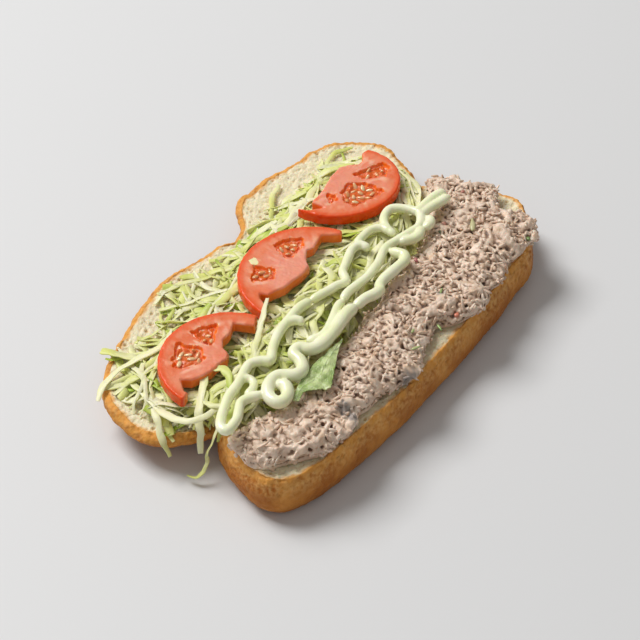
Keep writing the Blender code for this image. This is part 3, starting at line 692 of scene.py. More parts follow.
def bread_points(loop, spine, profile, seed):
    """All rings of one half, from the sole's edge up and in, with masks for crumb and rim."""
    known = np.array(profile, float)
    rim_share, top = known[-1]
    shares, levels = rows_at(np.linspace(0, 1, CRUST_RINGS), np.linspace(0, 1, len(known)), known).T
    shares, levels = rounded(shares, 3), rounded(levels, 3, 2)
    inner = rim_share + (CRUMB_END - rim_share) * np.linspace(CRUMB_START, 1, CRUMB_RINGS) ** 1.25
    count = len(loop)
    wobble = RIM_WAVE * mixed_noise(np.column_stack([loop, np.zeros(count)]),
                                    (23, seed, 0.75), (8, seed + 1, 0.5), (2.8, seed + 2, 0.35))
    rings, crumb, rim = [], [], []
    for share, level in zip(shares, levels):
        level_here = np.maximum(level + wobble * ease(0.45, 1.0, level / top), 0.0)
        rings.append(np.column_stack([toward_spine(loop, spine, share), level_here]))
        crumb.append(np.zeros(count))
        rim.append(np.full(count, ease(top - RIM_HEIGHT, top, level)))
    for step, share in enumerate(inner):
        inside = ease(rim_share, rim_share + 0.16, share)
        level = top + wobble * (1 - inside) - CRUMB_DIP * ease(rim_share, rim_share + 0.35, share)
        rings.append(np.column_stack([toward_spine(loop, spine, share), level]))
        crumb.append(np.full(count, ease(0.0, 2.0, step)))
        rim.append(np.full(count, 1 - ease(0.0, RIM_STEPS, step)))
    return np.vstack(rings), np.concatenate(crumb), np.concatenate(rim)


def ring_faces(count, levels):
    """Faces between rings of count points, with one face for each end."""
    faces = [tuple(range(count - 1, -1, -1))]
    for low in range(0, (levels - 1) * count, count):
        for k in range(count):
            beside = (k + 1) % count
            faces.append((low + k, low + beside, low + count + beside, low + count + k))
    faces.append(tuple(range((levels - 1) * count, levels * count)))
    return faces


def bread_half(name, loop, spine, profile, seed, finish):
    """One half of the roll as a mesh, with crust wrinkles and crumb pores."""
    points, crumb, rim = bread_points(loop, spine, profile, seed)
    half = mesh_object(name, points, ring_faces(len(loop), len(points) // len(loop)), finish)
    push = normals_of(half.data)
    crust = 1 - crumb
    bands = points * np.array((1.0, 1.0, 2.2))
    swell = (lattice_noise(points, 26, seed + 3) * 0.6
             + mixed_noise(bands, (8, seed + 4, 0.45), (3.2, seed + 5, 0.34))
             + lattice_noise(points, 1.7, seed + 16) * 0.16)
    crease = np.abs(lattice_noise(bands * np.array((0.6, 0.6, 1.0)), 9, seed + 10))
    # The crack mask sinks the crust and also paints shade into the cracks.
    crack = (1 - ease(0.0, 0.06, crease)) * ease(0.0, 0.25, lattice_noise(points, 24, seed + 11)) * crust
    lip = np.exp(-((points[:, 2] - profile[-1][1]) / LIP_WIDTH) ** 2) * crust
    lip *= 0.15 + mixed_noise(points, (7.5, seed + 12, 0.8), (2.4, seed + 20, 0.4))
    swell += lip - CRACK_DEEP * crack
    pores = np.zeros(len(points))
    for size, depth, extra in PORES:
        near, own = cell_noise(points * np.array((1.0, 1.25, 1.0)), size, seed + extra)
        pores = np.maximum(pores, (1 - ease(0.08, 0.42, near)) * own ** 2 * depth)
    torn = mixed_noise(points, (5, seed + 8, 0.5), (1.9, seed + 9, 0.4))
    lifted = ease(0.4, 3.0, points[:, 2])
    points += push * (swell * crust * lifted + crumb * (torn - pores))[:, None]
    points[:, 2] = np.maximum(points[:, 2], 0.0)
    put_points(half.data, points)
    near, own = cell_noise(points, 3.0, seed + 17)
    spots = (1 - ease(0.1, 0.3, near)) * ease(0.5, 0.8, own)
    spots += 0.5 * ease(0.1, 0.6, lattice_noise(points, 2.2, seed + 18))
    baked = ease(-0.5, 0.6, mixed_noise(points, (17, seed + 14, 1.0), (4, seed + 15, 0.5)))
    # The pore mask is painted shade in the crumb's pores.
    for label, values in (("crumb", crumb), ("rim", rim * (0.9 + 0.9 * lattice_noise(points, 4, seed + 19))),
                          ("pore", crumb * ease(0.05, 0.9, pores)), ("bake", baked * crust),
                          ("crack", crack), ("spot", spots * crust)):
        paint(half.data, label, values)
    return half


# %% [markdown]
# ### Bread finish
# The crust is golden brown, with small pale flecks high up and brown spots, and painted shade darkens
# its cracks and its foot. The rim is toasted orange. The crumb is cream, with painted shade in its
# pores. One material covers both, and the crumb mask painted on the rings decides which shows.

# %% Bread finish
CRUMB_PALE = (0.90, 0.81, 0.57)
CRUMB_DEEP = (0.62, 0.43, 0.20)
CRUST_GOLD = (0.78, 0.34, 0.07)
CRUST_PALE = (0.93, 0.58, 0.21)
CRUST_BROWN = (0.47, 0.15, 0.02)
RIM_ORANGE = (0.78, 0.36, 0.07)
BASE_BROWN = (0.36, 0.12, 0.02)
# Heights in metres at which the pale flecks and the painted shade at the foot start and are full.
FLECKS_FROM, FLECKS_FULL = 0.011, 0.021
FOOT_FROM, FOOT_FULL = 0.019, 0.002


def make_bread_finish():
    """Crust and crumb in one material."""
    finish, tree, speckle = new_finish("bread", 70.0, 480.0)
    place = add_node(tree, "ShaderNodeTexCoord").outputs["Object"]
    height = add_node(tree, "ShaderNodeSeparateXYZ", {0: place}).outputs["Z"]
    flecks = arithmetic(tree, "MULTIPLY", remap(tree, height, FLECKS_FROM, FLECKS_FULL),
                        arithmetic(tree, "MULTIPLY", speckle["Fine"], 0.65))
    # Painted shade: the cracks and the foot are darkened toward the shade brown.
    crust = tinted(tree, CRUST_BROWN, ("bake", 1, CRUST_GOLD), (speckle["Soft"], 0.35, CRUST_BROWN),
                   (flecks, 1, CRUST_PALE), ("spot", 0.55, CRUST_BROWN), ("crack", 0.7, BASE_BROWN),
                   (remap(tree, height, FOOT_FROM, FOOT_FULL), 0.75, BASE_BROWN))
    # Painted shade darkens the crumb in its pores, and a fine speckle of the same colour mottles it.
    crumb = tinted(tree, CRUMB_PALE, ("pore", 1, CRUMB_DEEP), (speckle["Fine"], 0.17, CRUMB_DEEP))
    bread = tinted(tree, crust, (remap(tree, reading(tree, "crumb"), 0.3, 1.0), 1, crumb),
                   (remap(tree, reading(tree, "rim"), 0.3, 1.0), 0.8, RIM_ORANGE))
    return complete(finish, (speckle["Height"], 0.8, 0.0013), {
        "Base Color": bread, "Roughness": 0.58, "Specular IOR Level": 0.18}, (0.22, (1.0, 0.6, 0.3), 0.003))


bread_finish = make_bread_finish()
roll_halves = [bread_half("roll_heel", heel_loop, HEEL_SPINE, HEEL_PROFILE, 31, bread_finish),
               bread_half("roll_lid", lid_loop, LID_SPINE, LID_PROFILE, 57, bread_finish)]
for half in roll_halves:
    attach(half, "root")
    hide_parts("bread_roll")
    print(half.name, len(half.data.polygons), "faces")

# %% [markdown]
# ## Tuna salad
# Canned tuna mixed with mayonnaise is a paste full of short fibres. The heap is the solid model's own
# form with folds and pits pushed into it. Geometry Nodes strew a few thousand fibres over it, and a
# remesh fuses fibres and heap into one moist skin. How far each point lies under its surroundings is
# painted on as light and shade: painted shade makes the pits dark and painted light makes the ridges
# pale. A few loose flakes lie over the skin.

# %% Tuna finish
TUNA_PALE = (0.91, 0.73, 0.58)
TUNA_PINK = (0.50, 0.325, 0.215)
TUNA_TAN = (0.74, 0.50, 0.31)
TUNA_DEEP = (0.085, 0.04, 0.025)
TUNA_GREY = (0.22, 0.22, 0.22)


def make_tuna_finish():
    """Moist fish, with painted light on its ridges, painted shade in its pits, and grey patches of skin."""
    finish, tree, speckle = new_finish("tuna", 110.0, 900.0)
    height = reading(tree, "height")
    flesh = tinted(tree, TUNA_PALE, (speckle["Soft"], 0.6, TUNA_PINK), ("tan", 1, TUNA_TAN))
    # Painted light and shade: where the stored height is low, in pits and low on the heap, the fish is
    # darkened toward the pit shade, and high ridges keep the pale colour.
    flesh = blend_colours(tree, remap(tree, height, 0.4, 0.8), TUNA_PINK, flesh)
    flesh = blend_colours(tree, remap(tree, height, 0.1, 0.55), TUNA_DEEP, flesh)
    flesh = tinted(tree, flesh, ("grey", 1, TUNA_GREY))
    return complete(finish, (speckle["Fine"], 0.35, 0.0004), {
        "Base Color": flesh, "Roughness": 0.40}, (0.2, (1.0, 0.45, 0.3), 0.0012))


tuna_finish = make_tuna_finish()

# %% Tuna heap and its fibres
TUNA_BASE_VOXEL = 0.9
TUNA_VOXEL = 0.52
FIBRE_SHAPES = ((5.6, 2.0, 1.5), (4.4, 1.8, 1.5), (3.2, 2.3, 1.8), (7.0, 1.6, 1.3), (2.6, 2.4, 1.9))
FIBRE_WAYS = {"Smallest": 0.6, "Tilt": 0.6, "Finish": tuna_finish}
FIBRE_GAP, FIBRE_SUNK = 2.0, -0.1
FLAKE_GAP, FLAKE_SUNK = 3.2, 0.8
GREY_SPOTS = (((-73.0, -64.7), 4.5), ((-75.5, -70.0), 3.0), ((-34.6, -78.5), 5.0), ((24.0, -62.0), 3.0))
TUNA_CUTS = (-200.0, -38.0, 32.0, 200.0)
CUT_OVERLAP = 0.2
PIT_DEEP = 3.2
FIBRE_LAYER = 2.2
FOOT_HEIGHTS = (18.5, 20.5)
UPPER_HEIGHTS = (26, 30)
MASHED_STRETCH = (-50, -80)
PALE_STRETCH = (-45, -75)
MAPPED_HEIGHT, PROUD_HEIGHT = 27, 29

base = fine_skin(welded_copy("tuna_salad", "tuna_base"), TUNA_BASE_VOXEL, 6)
tuna_points = points_of(base.data)
tuna_push = normals_of(base.data)
upper = ease(*UPPER_HEIGHTS, tuna_points[:, 2])
paste = ease(0.0, 0.4, lattice_noise(tuna_points, 8.5, 78)) * upper
near, own = cell_noise(tuna_points, 5.4, 72)
pits = (1 - ease(0.12, 0.4, near)) * ease(0.15, 0.6, own)
relief = mixed_noise(tuna_points, (13, 71, 2.0), (4.2, 75, 0.9), (2.0, 77, 0.45))
relief = relief - pits * PIT_DEEP * (1 - paste) - FIBRE_LAYER * (1 - 0.75 * paste)
exposed = ease(-0.98, -0.7, tuna_push[:, 2]) * ease(*FOOT_HEIGHTS, tuna_points[:, 2])
put_points(base.data, tuna_points + tuna_push * (relief * exposed)[:, None])
mashed = ease(0.0, 0.35, lattice_noise(tuna_points, 21, 74))
mashed = mashed * ease(*MASHED_STRETCH, tuna_points[:, 0]) * upper
paint(base.data, "room", exposed * (1 - 0.6 * mashed) * (1 - pits) * (1 - 0.75 * paste))
fibre_shapes = lump_collection("fibre_shapes", FIBRE_SHAPES, 0, 0.45)


def fused(name, parts, voxel, smoothing):
    """One skin round several overlapping objects, in their place."""
    shape = bmesh.new()
    for part in parts:
        shape.from_mesh(part.data)
        bpy.data.objects.remove(part, do_unlink=True)
    made = fine_skin(linked(name, mesh_of_shape(shape, name)), voxel, smoothing)
    made.data.shade_smooth()
    return made


def length_of(source, name, low, high):
    """The stretch of a closed skin between two planes across X, capped at both."""
    shape = bmesh.new()
    shape.from_mesh(source.data)
    for plane, outward in ((low, -1.0), (high, 1.0)):
        found = bmesh.ops.bisect_plane(
            shape, geom=shape.verts[:] + shape.edges[:] + shape.faces[:], plane_co=(plane * MM, 0, 0),
            plane_no=(outward, 0, 0), clear_outer=True)
        rim = [item for item in found["geom_cut"] if isinstance(item, bmesh.types.BMEdge)]
        if rim:
            bmesh.ops.triangle_fill(shape, use_beauty=True, edges=rim)
    mesh = source.data.copy()
    mesh.name = name
    shape.to_mesh(mesh)
    shape.free()
    return linked(name, mesh)


def level_map(points):
    """The mean height of a skin's upper side round each place of the map."""
    spots = np.round((points[:, :2] - (MAP_X[0], MAP_Y[0])) / MAP_STEP).astype(int)
    around = np.zeros((2, len(MAP_X), len(MAP_Y)))
    seen = points[:, 2] > MAPPED_HEIGHT
    np.add.at(around[0], (spots[seen, 0], spots[seen, 1]), points[seen, 2])
    np.add.at(around[1], (spots[seen, 0], spots[seen, 1]), 1.0)
    for _ in range(3):
        for axis in (1, 2):
            around = around + np.roll(around, 1, axis) + np.roll(around, -1, axis)
    return around[0] / np.maximum(around[1], 1e-9)


def paint_tuna(item, seed):
    """How far each point stands out of its surroundings, painted on as light on ridges and shade in pits, and
    the grey patches of skin.
    """
    points = points_of(item.data)
    proud = points[:, 2] - look_up(tuna_level, points[:, 0], points[:, 1])
    ridge = ease(0.33, -0.2, hollows(item.data, 10))
    high = ease(-2.6, 0.8, np.where(points[:, 2] > PROUD_HEIGHT, proud, -0.7))
    high += 0.5 * ease(*PALE_STRETCH, points[:, 0])
    grain = mixed_noise(points, (1.4, seed, 0.12), (6, seed + 2, 0.12))
    # The height is painted light and shade: ridges and high points pale, pits and low parts dark.
    paint(item.data, "height", np.clip((0.28 + 0.72 * ridge) * (0.25 + 0.75 * high) + grain, 0, 1))
    paint(item.data, "tan", ease(0.0, 0.7, lattice_noise(points, 4.5, seed + 3)) * 0.55)
    grey = [1 - ease(0.3, 1.2, np.hypot(*(points[:, :2] - spot).T) / size
                     + 0.7 * lattice_noise(points, 2.5, seed + 1)) for spot, size in GREY_SPOTS]
    paint(item.data, "grey", np.max(grey, axis=0) * 0.7)


flakes = strewn(base, "tuna_flakes", fibre_shapes, FLAKE_GAP, Seed=9, Sunk=FLAKE_SUNK * MM, Largest=1.05,
                **FIBRE_WAYS)
fibres = strewn(base, "tuna_fibres", fibre_shapes, FIBRE_GAP, Seed=5, Sunk=FIBRE_SUNK * MM, Largest=1.15,
                **FIBRE_WAYS)
tuna = fused("tuna_heap", [fibres, base], TUNA_VOXEL, 1)
drop_shapes(fibre_shapes)
tuna_points = points_of(tuna.data)
tuna_level = level_map(tuna_points)
paint_tuna(tuna, 76)
paint_tuna(flakes, 79)
tuna.data.materials.append(tuna_finish)
tuna_parts = [length_of(tuna, f"tuna_heap_{k + 1}", low - CUT_OVERLAP, high + CUT_OVERLAP)
              for k, (low, high) in enumerate(zip(TUNA_CUTS, TUNA_CUTS[1:]))]
bpy.data.objects.remove(tuna, do_unlink=True)
print("tuna faces:", [len(part.data.polygons) for part in (*tuna_parts, flakes)])

# %% [markdown]
# ### Chopped bits
# Chopped pickle, celery and pepper show in the salad. Each is a small lump laid on the heap where the
# photograph has it. They share one material, which reads each bit's colour from the mesh.

# %% Bits in the tuna
# The place, the size, the turn in degrees and the colour of each bit.
BITS = (
    ((79.3, -48.6), (11.0, 2.6, 1.8), 30, (0.52, 0.50, 0.24)),
    ((90.3, -77.0), (3.0, 2.2, 1.4), 40, (0.10, 0.22, 0.03)),
    ((25.0, -61.0), (7.0, 1.2, 1.0), 20, (0.24, 0.36, 0.10)),
    ((5.8, -71.8), (5.0, 1.4, 1.0), 60, (0.22, 0.42, 0.08)),
    ((-16.6, -71.1), (6.0, 1.6, 1.0), -30, (0.34, 0.46, 0.14)),
    ((17.6, -75.1), (3.2, 2.6, 1.6), 10, (0.66, 0.20, 0.12)),
    ((73.9, -33.7), (3.4, 2.4, 1.6), 70, (0.46, 0.13, 0.12)),
    ((102.2, -29.0), (3.0, 1.8, 1.4), 15, (0.60, 0.14, 0.14)),
    ((39.2, -37.1), (3.6, 2.0, 1.4), 50, (0.38, 0.07, 0.10)),
    ((66.0, -36.0), (2.4, 1.8, 1.4), 50, (0.06, 0.12, 0.05)),
    ((-8.0, -64.0), (3.0, 1.4, 1.0), 10, (0.30, 0.42, 0.12)),
)
BIT_PALE = (0.7, 0.6, 0.4)
NEARBY = 40


def make_bit_finish():
    """Wet chopped vegetables, each with its own colour."""
    finish, tree, speckle = new_finish("chopped_bits", 200.0, 900.0)
    own_tint = add_node(tree, "ShaderNodeAttribute", attribute_name="tint").outputs["Color"]
    return complete(finish, (speckle["Fine"], 0.2, 0.0003), {
        "Base Color": tinted(tree, own_tint, (speckle["Soft"], 0.3, BIT_PALE)), "Roughness": 0.3})


shape = bmesh.new()
tints = []
for k, ((x, y), size, turn, colour) in enumerate(BITS):
    bit = lump(f"bit_{k}", *size, k + 60, 0.35)
    away = np.hypot(tuna_points[:, 0] - x, tuna_points[:, 1] - y) - 0.3 * tuna_points[:, 2]
    level = tuna_points[np.argsort(away)[:NEARBY], 2].max()
    angle = math.radians(turn)
    points = points_of(bit.data)
    across = points[:, 0] * math.cos(angle) - points[:, 1] * math.sin(angle) + x
    up = points[:, 0] * math.sin(angle) + points[:, 1] * math.cos(angle) + y
    put_points(bit.data, np.column_stack([across, up, points[:, 2] + level]))
    shape.from_mesh(bit.data)
    tints += [(*colour, 1.0)] * len(points)
    bpy.data.objects.remove(bit, do_unlink=True)
mesh = mesh_of_shape(shape, "chopped_bits")
mesh.shade_smooth()
mesh.materials.append(make_bit_finish())
mesh.color_attributes.new("tint", "FLOAT_COLOR", "POINT").data.foreach_set("color", np.ravel(tints))
bits = linked("chopped_bits", mesh)
for piece in (*tuna_parts, flakes, bits):
    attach(piece, "root")
    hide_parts("tuna_salad")
print("bits", len(BITS))

# %% [markdown]
# ## Shredded lettuce
# Iceberg lettuce is cut into ribbons about 3 mm wide, cream at the rib and green at the leaf's edge.
# They lie across each other, so they are dropped one at a time on the height map: each comes to rest
# on what is already there, is refused where it would push into a topping, and raises the map for the
# next. The routes are then swept into thin ribbons by Geometry Nodes.

# %% Lettuce finish
LETTUCE_CREAM = (0.90, 0.88, 0.52)
LETTUCE_PALE = (0.72, 0.75, 0.24)
LETTUCE_GREEN = (0.38, 0.52, 0.05)


def make_lettuce_finish():
    """Thin wet leaf, greener toward a shred's edges and by the shred's own tone."""
    finish, tree, speckle = new_finish("lettuce", 90.0, 700.0)
    tone = arithmetic(tree, "ADD", reading(tree, "tone"), arithmetic(tree, "MULTIPLY", speckle["Soft"], 0.25))
    tone = arithmetic(tree, "ADD", tone, arithmetic(tree, "MULTIPLY", reading(tree, "edge"), 0.08))
    leaf = tinted(tree, LETTUCE_CREAM, (remap(tree, tone, 0.25, 0.75), 1, LETTUCE_PALE),
                  (remap(tree, tone, 0.85, 1.25), 1, LETTUCE_GREEN))
    return complete(finish, (speckle["Fine"], 0.2, 0.0003), {
        "Base Color": leaf, "Roughness": 0.42, "Specular IOR Level": 0.35}, (0.3, (0.9, 1.0, 0.35), 0.0025))


lettuce_finish = make_lettuce_finish()

# %% Lettuce core
CORE_SUNK = 3.0
CORE_LEAST = 5.0
CORE_FLOOR = 19.3
CORE_THICK = 1.2
CORNERS = ((0, 0), (1, 0), (1, 1), (0, 1))

core_map = spread(np.where(lettuce_map > 0, lettuce_map, 0.0), 2, lowest=True) - CORE_SUNK
rough = np.array([(x, y, 0.0) for x in MAP_X for y in MAP_Y])
core_map += (lattice_noise(rough, 6, 81) * 1.1).reshape(core_map.shape)
wide = (core_map > CORE_FLOOR + 0.4) & (lettuce_map - bread_map > CORE_LEAST)
core_points, core_faces, numbers = [], [], {}
for i, j in zip(*np.nonzero(wide)):
    corners = [(i + di, j + dj) for di, dj in CORNERS]
    for corner in corners:
        if corner not in numbers:
            numbers[corner] = len(core_points)
            level = max(core_map[corner], CORE_FLOOR + 0.3)
            core_points.append((MAP_X[corner[0]] - 0.5, MAP_Y[corner[1]] - 0.5, level))
    core_faces.append(tuple(numbers[corner] for corner in corners))
core = mesh_object("lettuce_core", core_points, core_faces, lettuce_finish)
paint(core.data, "tone", 0.45 + 0.35 * lattice_noise(np.array(core_points), 5, 82))
core = thickened(core, CORE_THICK, -1.0)
print("lettuce core", len(core.data.polygons), "faces")

# %% Routes of the shreds
SHRED_SEED = 17
SHRED_TRIES = 4000
SHRED_WIDTHS = (1.5, 5.0)
SHRED_LENGTHS = (28.0, 84.0)
SHRED_LEAST = 9
SHRED_AREA = ((-126, 118), (-34, 72))
STATION_GAP = 2.4
LAYER_LIFT = 0.5
LAYER_THICK = 0.25
CROWD_THICK = (2.5, 9.0)
ROOF_ROOM = 0.7
LIMIT_ROOM = 2.2
BREAD_LEAST = 15
OPEN_HEIGHT = 60.0
LONG_TWIST, LONG_TAPER, LONG_SWAY = 0.2, 0.45, 0.9
# Long shreds that the photograph shows past the heap: (x, y, height), then a width and a tone.
LONG_SHREDS = [
    ([(-32.7, 9.2, 39.6), (-43.5, 4.7, 39), (-50.1, 1.3, 37), (-59.6, -2.8, 36.2),
      (-70.3, -7.7, 36.5)], 3.4, 0.15),
    ([(-104, 46, 22), (-109, 37.1, 24.5), (-113, 27.8, 25.5), (-117, 18.5, 26.5), (-119.5, 10.7, 28),
      (-121.1, 3, 30), (-120, -4.1, 32), (-114, -9.9, 33.5), (-104, -12, 34)], 3.8, 0.0),
    ([(-90, 50, 22), (-93, 54, 22.6), (-94.3, 60.6, 22), (-95.2, 66, 21.6), (-95.8, 70, 20.8)], 6.0, 0.4),
    ([(-76, 41, 28), (-81.5, 42.3, 27), (-92.8, 48.3, 24.5), (-100.8, 52.5, 22.5), (-110, 53.7, 21.8),
      (-118.2, 52.8, 21), (-124, 50, 19.5)], 4.2, 0.05),
    ([(-119, 19, 27.5), (-122.8, 13.4, 27), (-127.2, 9.4, 24), (-129.6, 5, 20), (-130.2, 1.1, 13)],
     3.6, 0.12),
    ([(-88, 9, 34.5), (-95.2, 4.5, 35), (-104.3, 0, 34.4), (-112.2, -4.6, 31.5), (-117.9, -9, 25),
      (-122.2, -11.6, 15)], 4.4, 0.08),
    ([(-112, -16, 32.5), (-116, -17.3, 29), (-118.7, -17.0, 24), (-121.1, -15.2, 16),
      (-122.3, -15.4, 11), (-125, -15.6, 7), (-128.2, -13.2, 4.5), (-129.2, -8.7, 4)], 2.3, 0.5),
    ([(-100, 0, 34.5), (-106.7, -4.2, 34.4), (-107, -9.1, 34.8), (-104, -14.5, 35.5)], 3.0, 0.3),
    ([(-83, 6, 35.5), (-85.8, 2.9, 36), (-85, 0.3, 37.2), (-87.2, -5, 37.2), (-93.6, -10.5, 36.8)],
     4.4, 0.6),
    ([(34, 52, 23), (46, 60, 20.8), (56, 67, 20.6), (66, 68, 20.8)], 3.0, 0.5),
    ([(86, 50, 24), (98, 57, 20.8), (108, 58, 20.6), (116, 52, 20.8)], 2.8, 0.6),
    ([(-20, 54, 23), (-30, 65, 20.8), (-42, 70, 20.6), (-52, 68, 20.8)], 3.2, 0.3),
]


def steady(values, passes):
    """Let a row of heights span its hollows and round off its peaks."""
    values = np.array(values, float)
    for _ in range(passes):
        between = (values[:-2] + values[2:]) / 2
        values[1:-1] = np.maximum(between, values[1:-1] * 0.6 + between * 0.4)
    return values


def finer(route):
    """Twice the stations, rounded."""
    spots = np.linspace(0, len(route) - 1, 2 * len(route) - 1)
    return rounded(rows_at(spots, range(len(route)), route), 2)


def route_on_map(draw, carrier_map):
    """One shred's route over the heap, or nothing where it doesn't fit."""
    length = draw.uniform(*SHRED_LENGTHS)
    width = SHRED_WIDTHS[0] + (SHRED_WIDTHS[1] - SHRED_WIDTHS[0]) * draw.uniform() ** 1.4
    count = int(length / STATION_GAP) + 1
    x, y = (draw.uniform(*stretch) for stretch in SHRED_AREA)
    heading = draw.uniform(0, 2 * math.pi)
    turning = draw.normal(0, 0.05)
    bends = np.cumsum(turning + draw.normal(0, 0.085, count))
    bends += draw.uniform(0.0, 0.5) * np.sin(np.arange(count) * draw.uniform(0.5, 1.1) + draw.uniform(0, 6.0))
    steps = np.column_stack([np.cos(heading + bends), np.sin(heading + bends)]) * STATION_GAP
    route = np.cumsum(steps, axis=0) + (x, y)
    curl = draw.uniform(0.0, 3.0, 2) * (draw.uniform(size=2) < 0.5)
    twist = draw.normal(0, 0.3)
    tone = draw.beta(1.2, 1.9)
    taper = draw.uniform(0.0, 0.75)
    inside = look_up(reach_map, *route.T) > 0
    if not inside.all():
        route = route[:int(np.argmin(inside))]
    if len(route) < SHRED_LEAST:
        return None
    crowd = ease(*CROWD_THICK, look_up(lettuce_map - bread_map, *route.T)).mean()
    if draw.uniform() > 0.12 + 0.88 * crowd:
        return None
    level = steady(look_up(carrier_map, *route.T), 7) + LAYER_LIFT
    ends = np.linspace(-1, 1, len(route))
    level += np.where(ends < 0, curl[0], curl[1]) * np.abs(ends) ** 4
    level += 0.35 * (1 + np.sin(np.arange(len(route)) * 1.3 + heading * 5))
    under_roof = level + ROOF_ROOM <= look_up(roof_map, *route.T)
    near_heap = level <= look_up(limit_map, *route.T) + LIMIT_ROOM
    if not (under_roof & near_heap).all():
        return None
    return np.column_stack([route, level]), width, twist, tone, taper


reach_map = spread(np.where(lettuce_map > 0, 1.0, 0.0), 2) > 0
reach_map &= (bread_map > BREAD_LEAST) & (tuna_map < 0)
roof_map = np.where(tuna_map > 0, OPEN_HEIGHT, spread(ceiling_map, 2, lowest=True))
limit_map = spread(np.where(lettuce_map > 0, lettuce_map, bread_map + 0.6), 1)
carrier_map = np.maximum(np.where(wide, core_map, NOTHING), bread_map)
draw = np.random.default_rng(SHRED_SEED)
routes = []
for _ in range(SHRED_TRIES):
    found = route_on_map(draw, carrier_map)
    if found is None:
        continue
    routes.append(found)
    for px, py, pz in found[0]:
        i = int(round((px - MAP_X[0]) / MAP_STEP))
        j = int(round((py - MAP_Y[0]) / MAP_STEP))
        spot = carrier_map[i - 1:i + 2, j - 1:j + 2]
        np.maximum(spot, pz - LAYER_THICK, out=spot)
for points, width, tone in LONG_SHREDS:
    given = np.array(points, float)
    rows = rows_at(np.linspace(0, len(given) - 1, len(given) * 4), range(len(given)), given)
    for axis in (0, 1):
        rows[:, axis] += lattice_noise(rows, 5, 83 + axis) * LONG_SWAY
    routes.append((rows, width, LONG_TWIST, tone, LONG_TAPER))
print("shreds laid:", len(routes))

# %% Ribbons swept along the routes
PROFILE_BOW = 0.12
PROFILE_THICK = 0.12


def crescent_profile():
    """The cross-section of a shred, one unit wide, bowed across its width."""
    over = [(x, PROFILE_BOW * (1 - 4 * x * x)) for x in (-0.5, -0.2, 0.2, 0.5)]
    under = [(x, PROFILE_BOW * (1 - 4 * x * x) - PROFILE_THICK) for x in (0.45, 0.0, -0.45)]
    points = np.array([(x, y, 0.0) for x, y in over + under])
    mesh = bpy.data.meshes.new("shred_profile")
    mesh.from_pydata(points.tolist(), [(k, (k + 1) % len(points)) for k in range(len(points))], [])
    paint(mesh, "edge", (2 * points[:, 0]) ** 2)
    return linked("shred_profile", mesh)


def build_ribbon():
    """Sweep a profile along every route, with each route's own breadth and twist."""
    tree, inside = new_geometry_tree("Ribbon", {
        "Profile": ("Object", None), "Thickness": ("Float", 1.0), "Finish": ("Material", None)})
    curve = add_node(tree, "GeometryNodeMeshToCurve", {"Mesh": inside["Geometry"]}).outputs[0]
    upright = add_node(tree, "GeometryNodeSetCurveNormal", {"Curve": curve}, mode="Z_UP").outputs[0]
    twisted = add_node(tree, "GeometryNodeSetCurveTilt", {
        "Curve": upright, "Tilt": stored(tree, "twist")}).outputs[0]
    profile = add_node(tree, "GeometryNodeObjectInfo", {"Object": inside["Profile"]}).outputs["Geometry"]
    scale = add_node(tree, "ShaderNodeCombineXYZ", {"X": 1.0, "Y": inside["Thickness"], "Z": 1.0}).outputs[0]
    thinned = add_node(tree, "GeometryNodeTransform", {"Geometry": profile, "Scale": scale}).outputs[0]
    outline = add_node(tree, "GeometryNodeMeshToCurve", {"Mesh": thinned}).outputs[0]
    swept = add_node(tree, "GeometryNodeCurveToMesh", {
        "Curve": twisted, "Profile Curve": outline, "Scale": stored(tree, "breadth"), "Fill Caps": True})
    return end_tree(tree, inside, swept.outputs[0])


def route_mesh(name, rows):
    """All routes as strings of edges, with breadth, twist and tone at each point."""
    points, edges, breadth, twist, tone = [], [], [], [], []
    for route, width, turn, shade, taper in rows:
        route = finer(route)
        first, count = len(points), len(route)
        ends = np.linspace(-1, 1, count)
        points += list(route)
        edges += [(first + k, first + k + 1) for k in range(count - 1)]
        ripple = 1 + 0.1 * np.sin(ends * 7 + width * 40)
        breadth += list(width * MM * (1 - taper * np.abs(ends) ** 4) * ripple)
        twist += list(turn * (1 + np.sin(ends * 3 + shade * 20)))
        tone += list(shade + 0.3 * ends * (1 if first % 2 else -1))
    mesh = bpy.data.meshes.new(name)
    mesh.from_pydata((np.array(points) * MM).tolist(), edges, [])
    for label, values in (("breadth", breadth), ("twist", twist), ("tone", tone)):
        paint(mesh, label, values)
    return linked(name, mesh)


RIBBON = build_ribbon()
profile = crescent_profile()
layers = (routes[:len(routes) // 2], routes[len(routes) // 2:])
shreds = [grow(route_mesh(f"shred_routes_{k}", layer), RIBBON, f"lettuce_shreds_{k}", Profile=profile,
               Finish=lettuce_finish) for k, layer in enumerate(layers, 1)]
print("lettuce shreds:", [len(piece.data.polygons) for piece in shreds], "faces")
for piece in (core, *shreds):
    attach(piece, "root")
    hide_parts("shredded_lettuce")

# %% [markdown]
# ## Tomato slices
# Each slice is a fine remesh of the solid model's slice. The red skin is its outer wall, told by the
# distance from the slice's own centre. Pale streaks run out from that centre through the flesh. The
# solid model's seed chambers get firm edges and uneven floors of wet gel, and Geometry Nodes strew
# seeds on them.

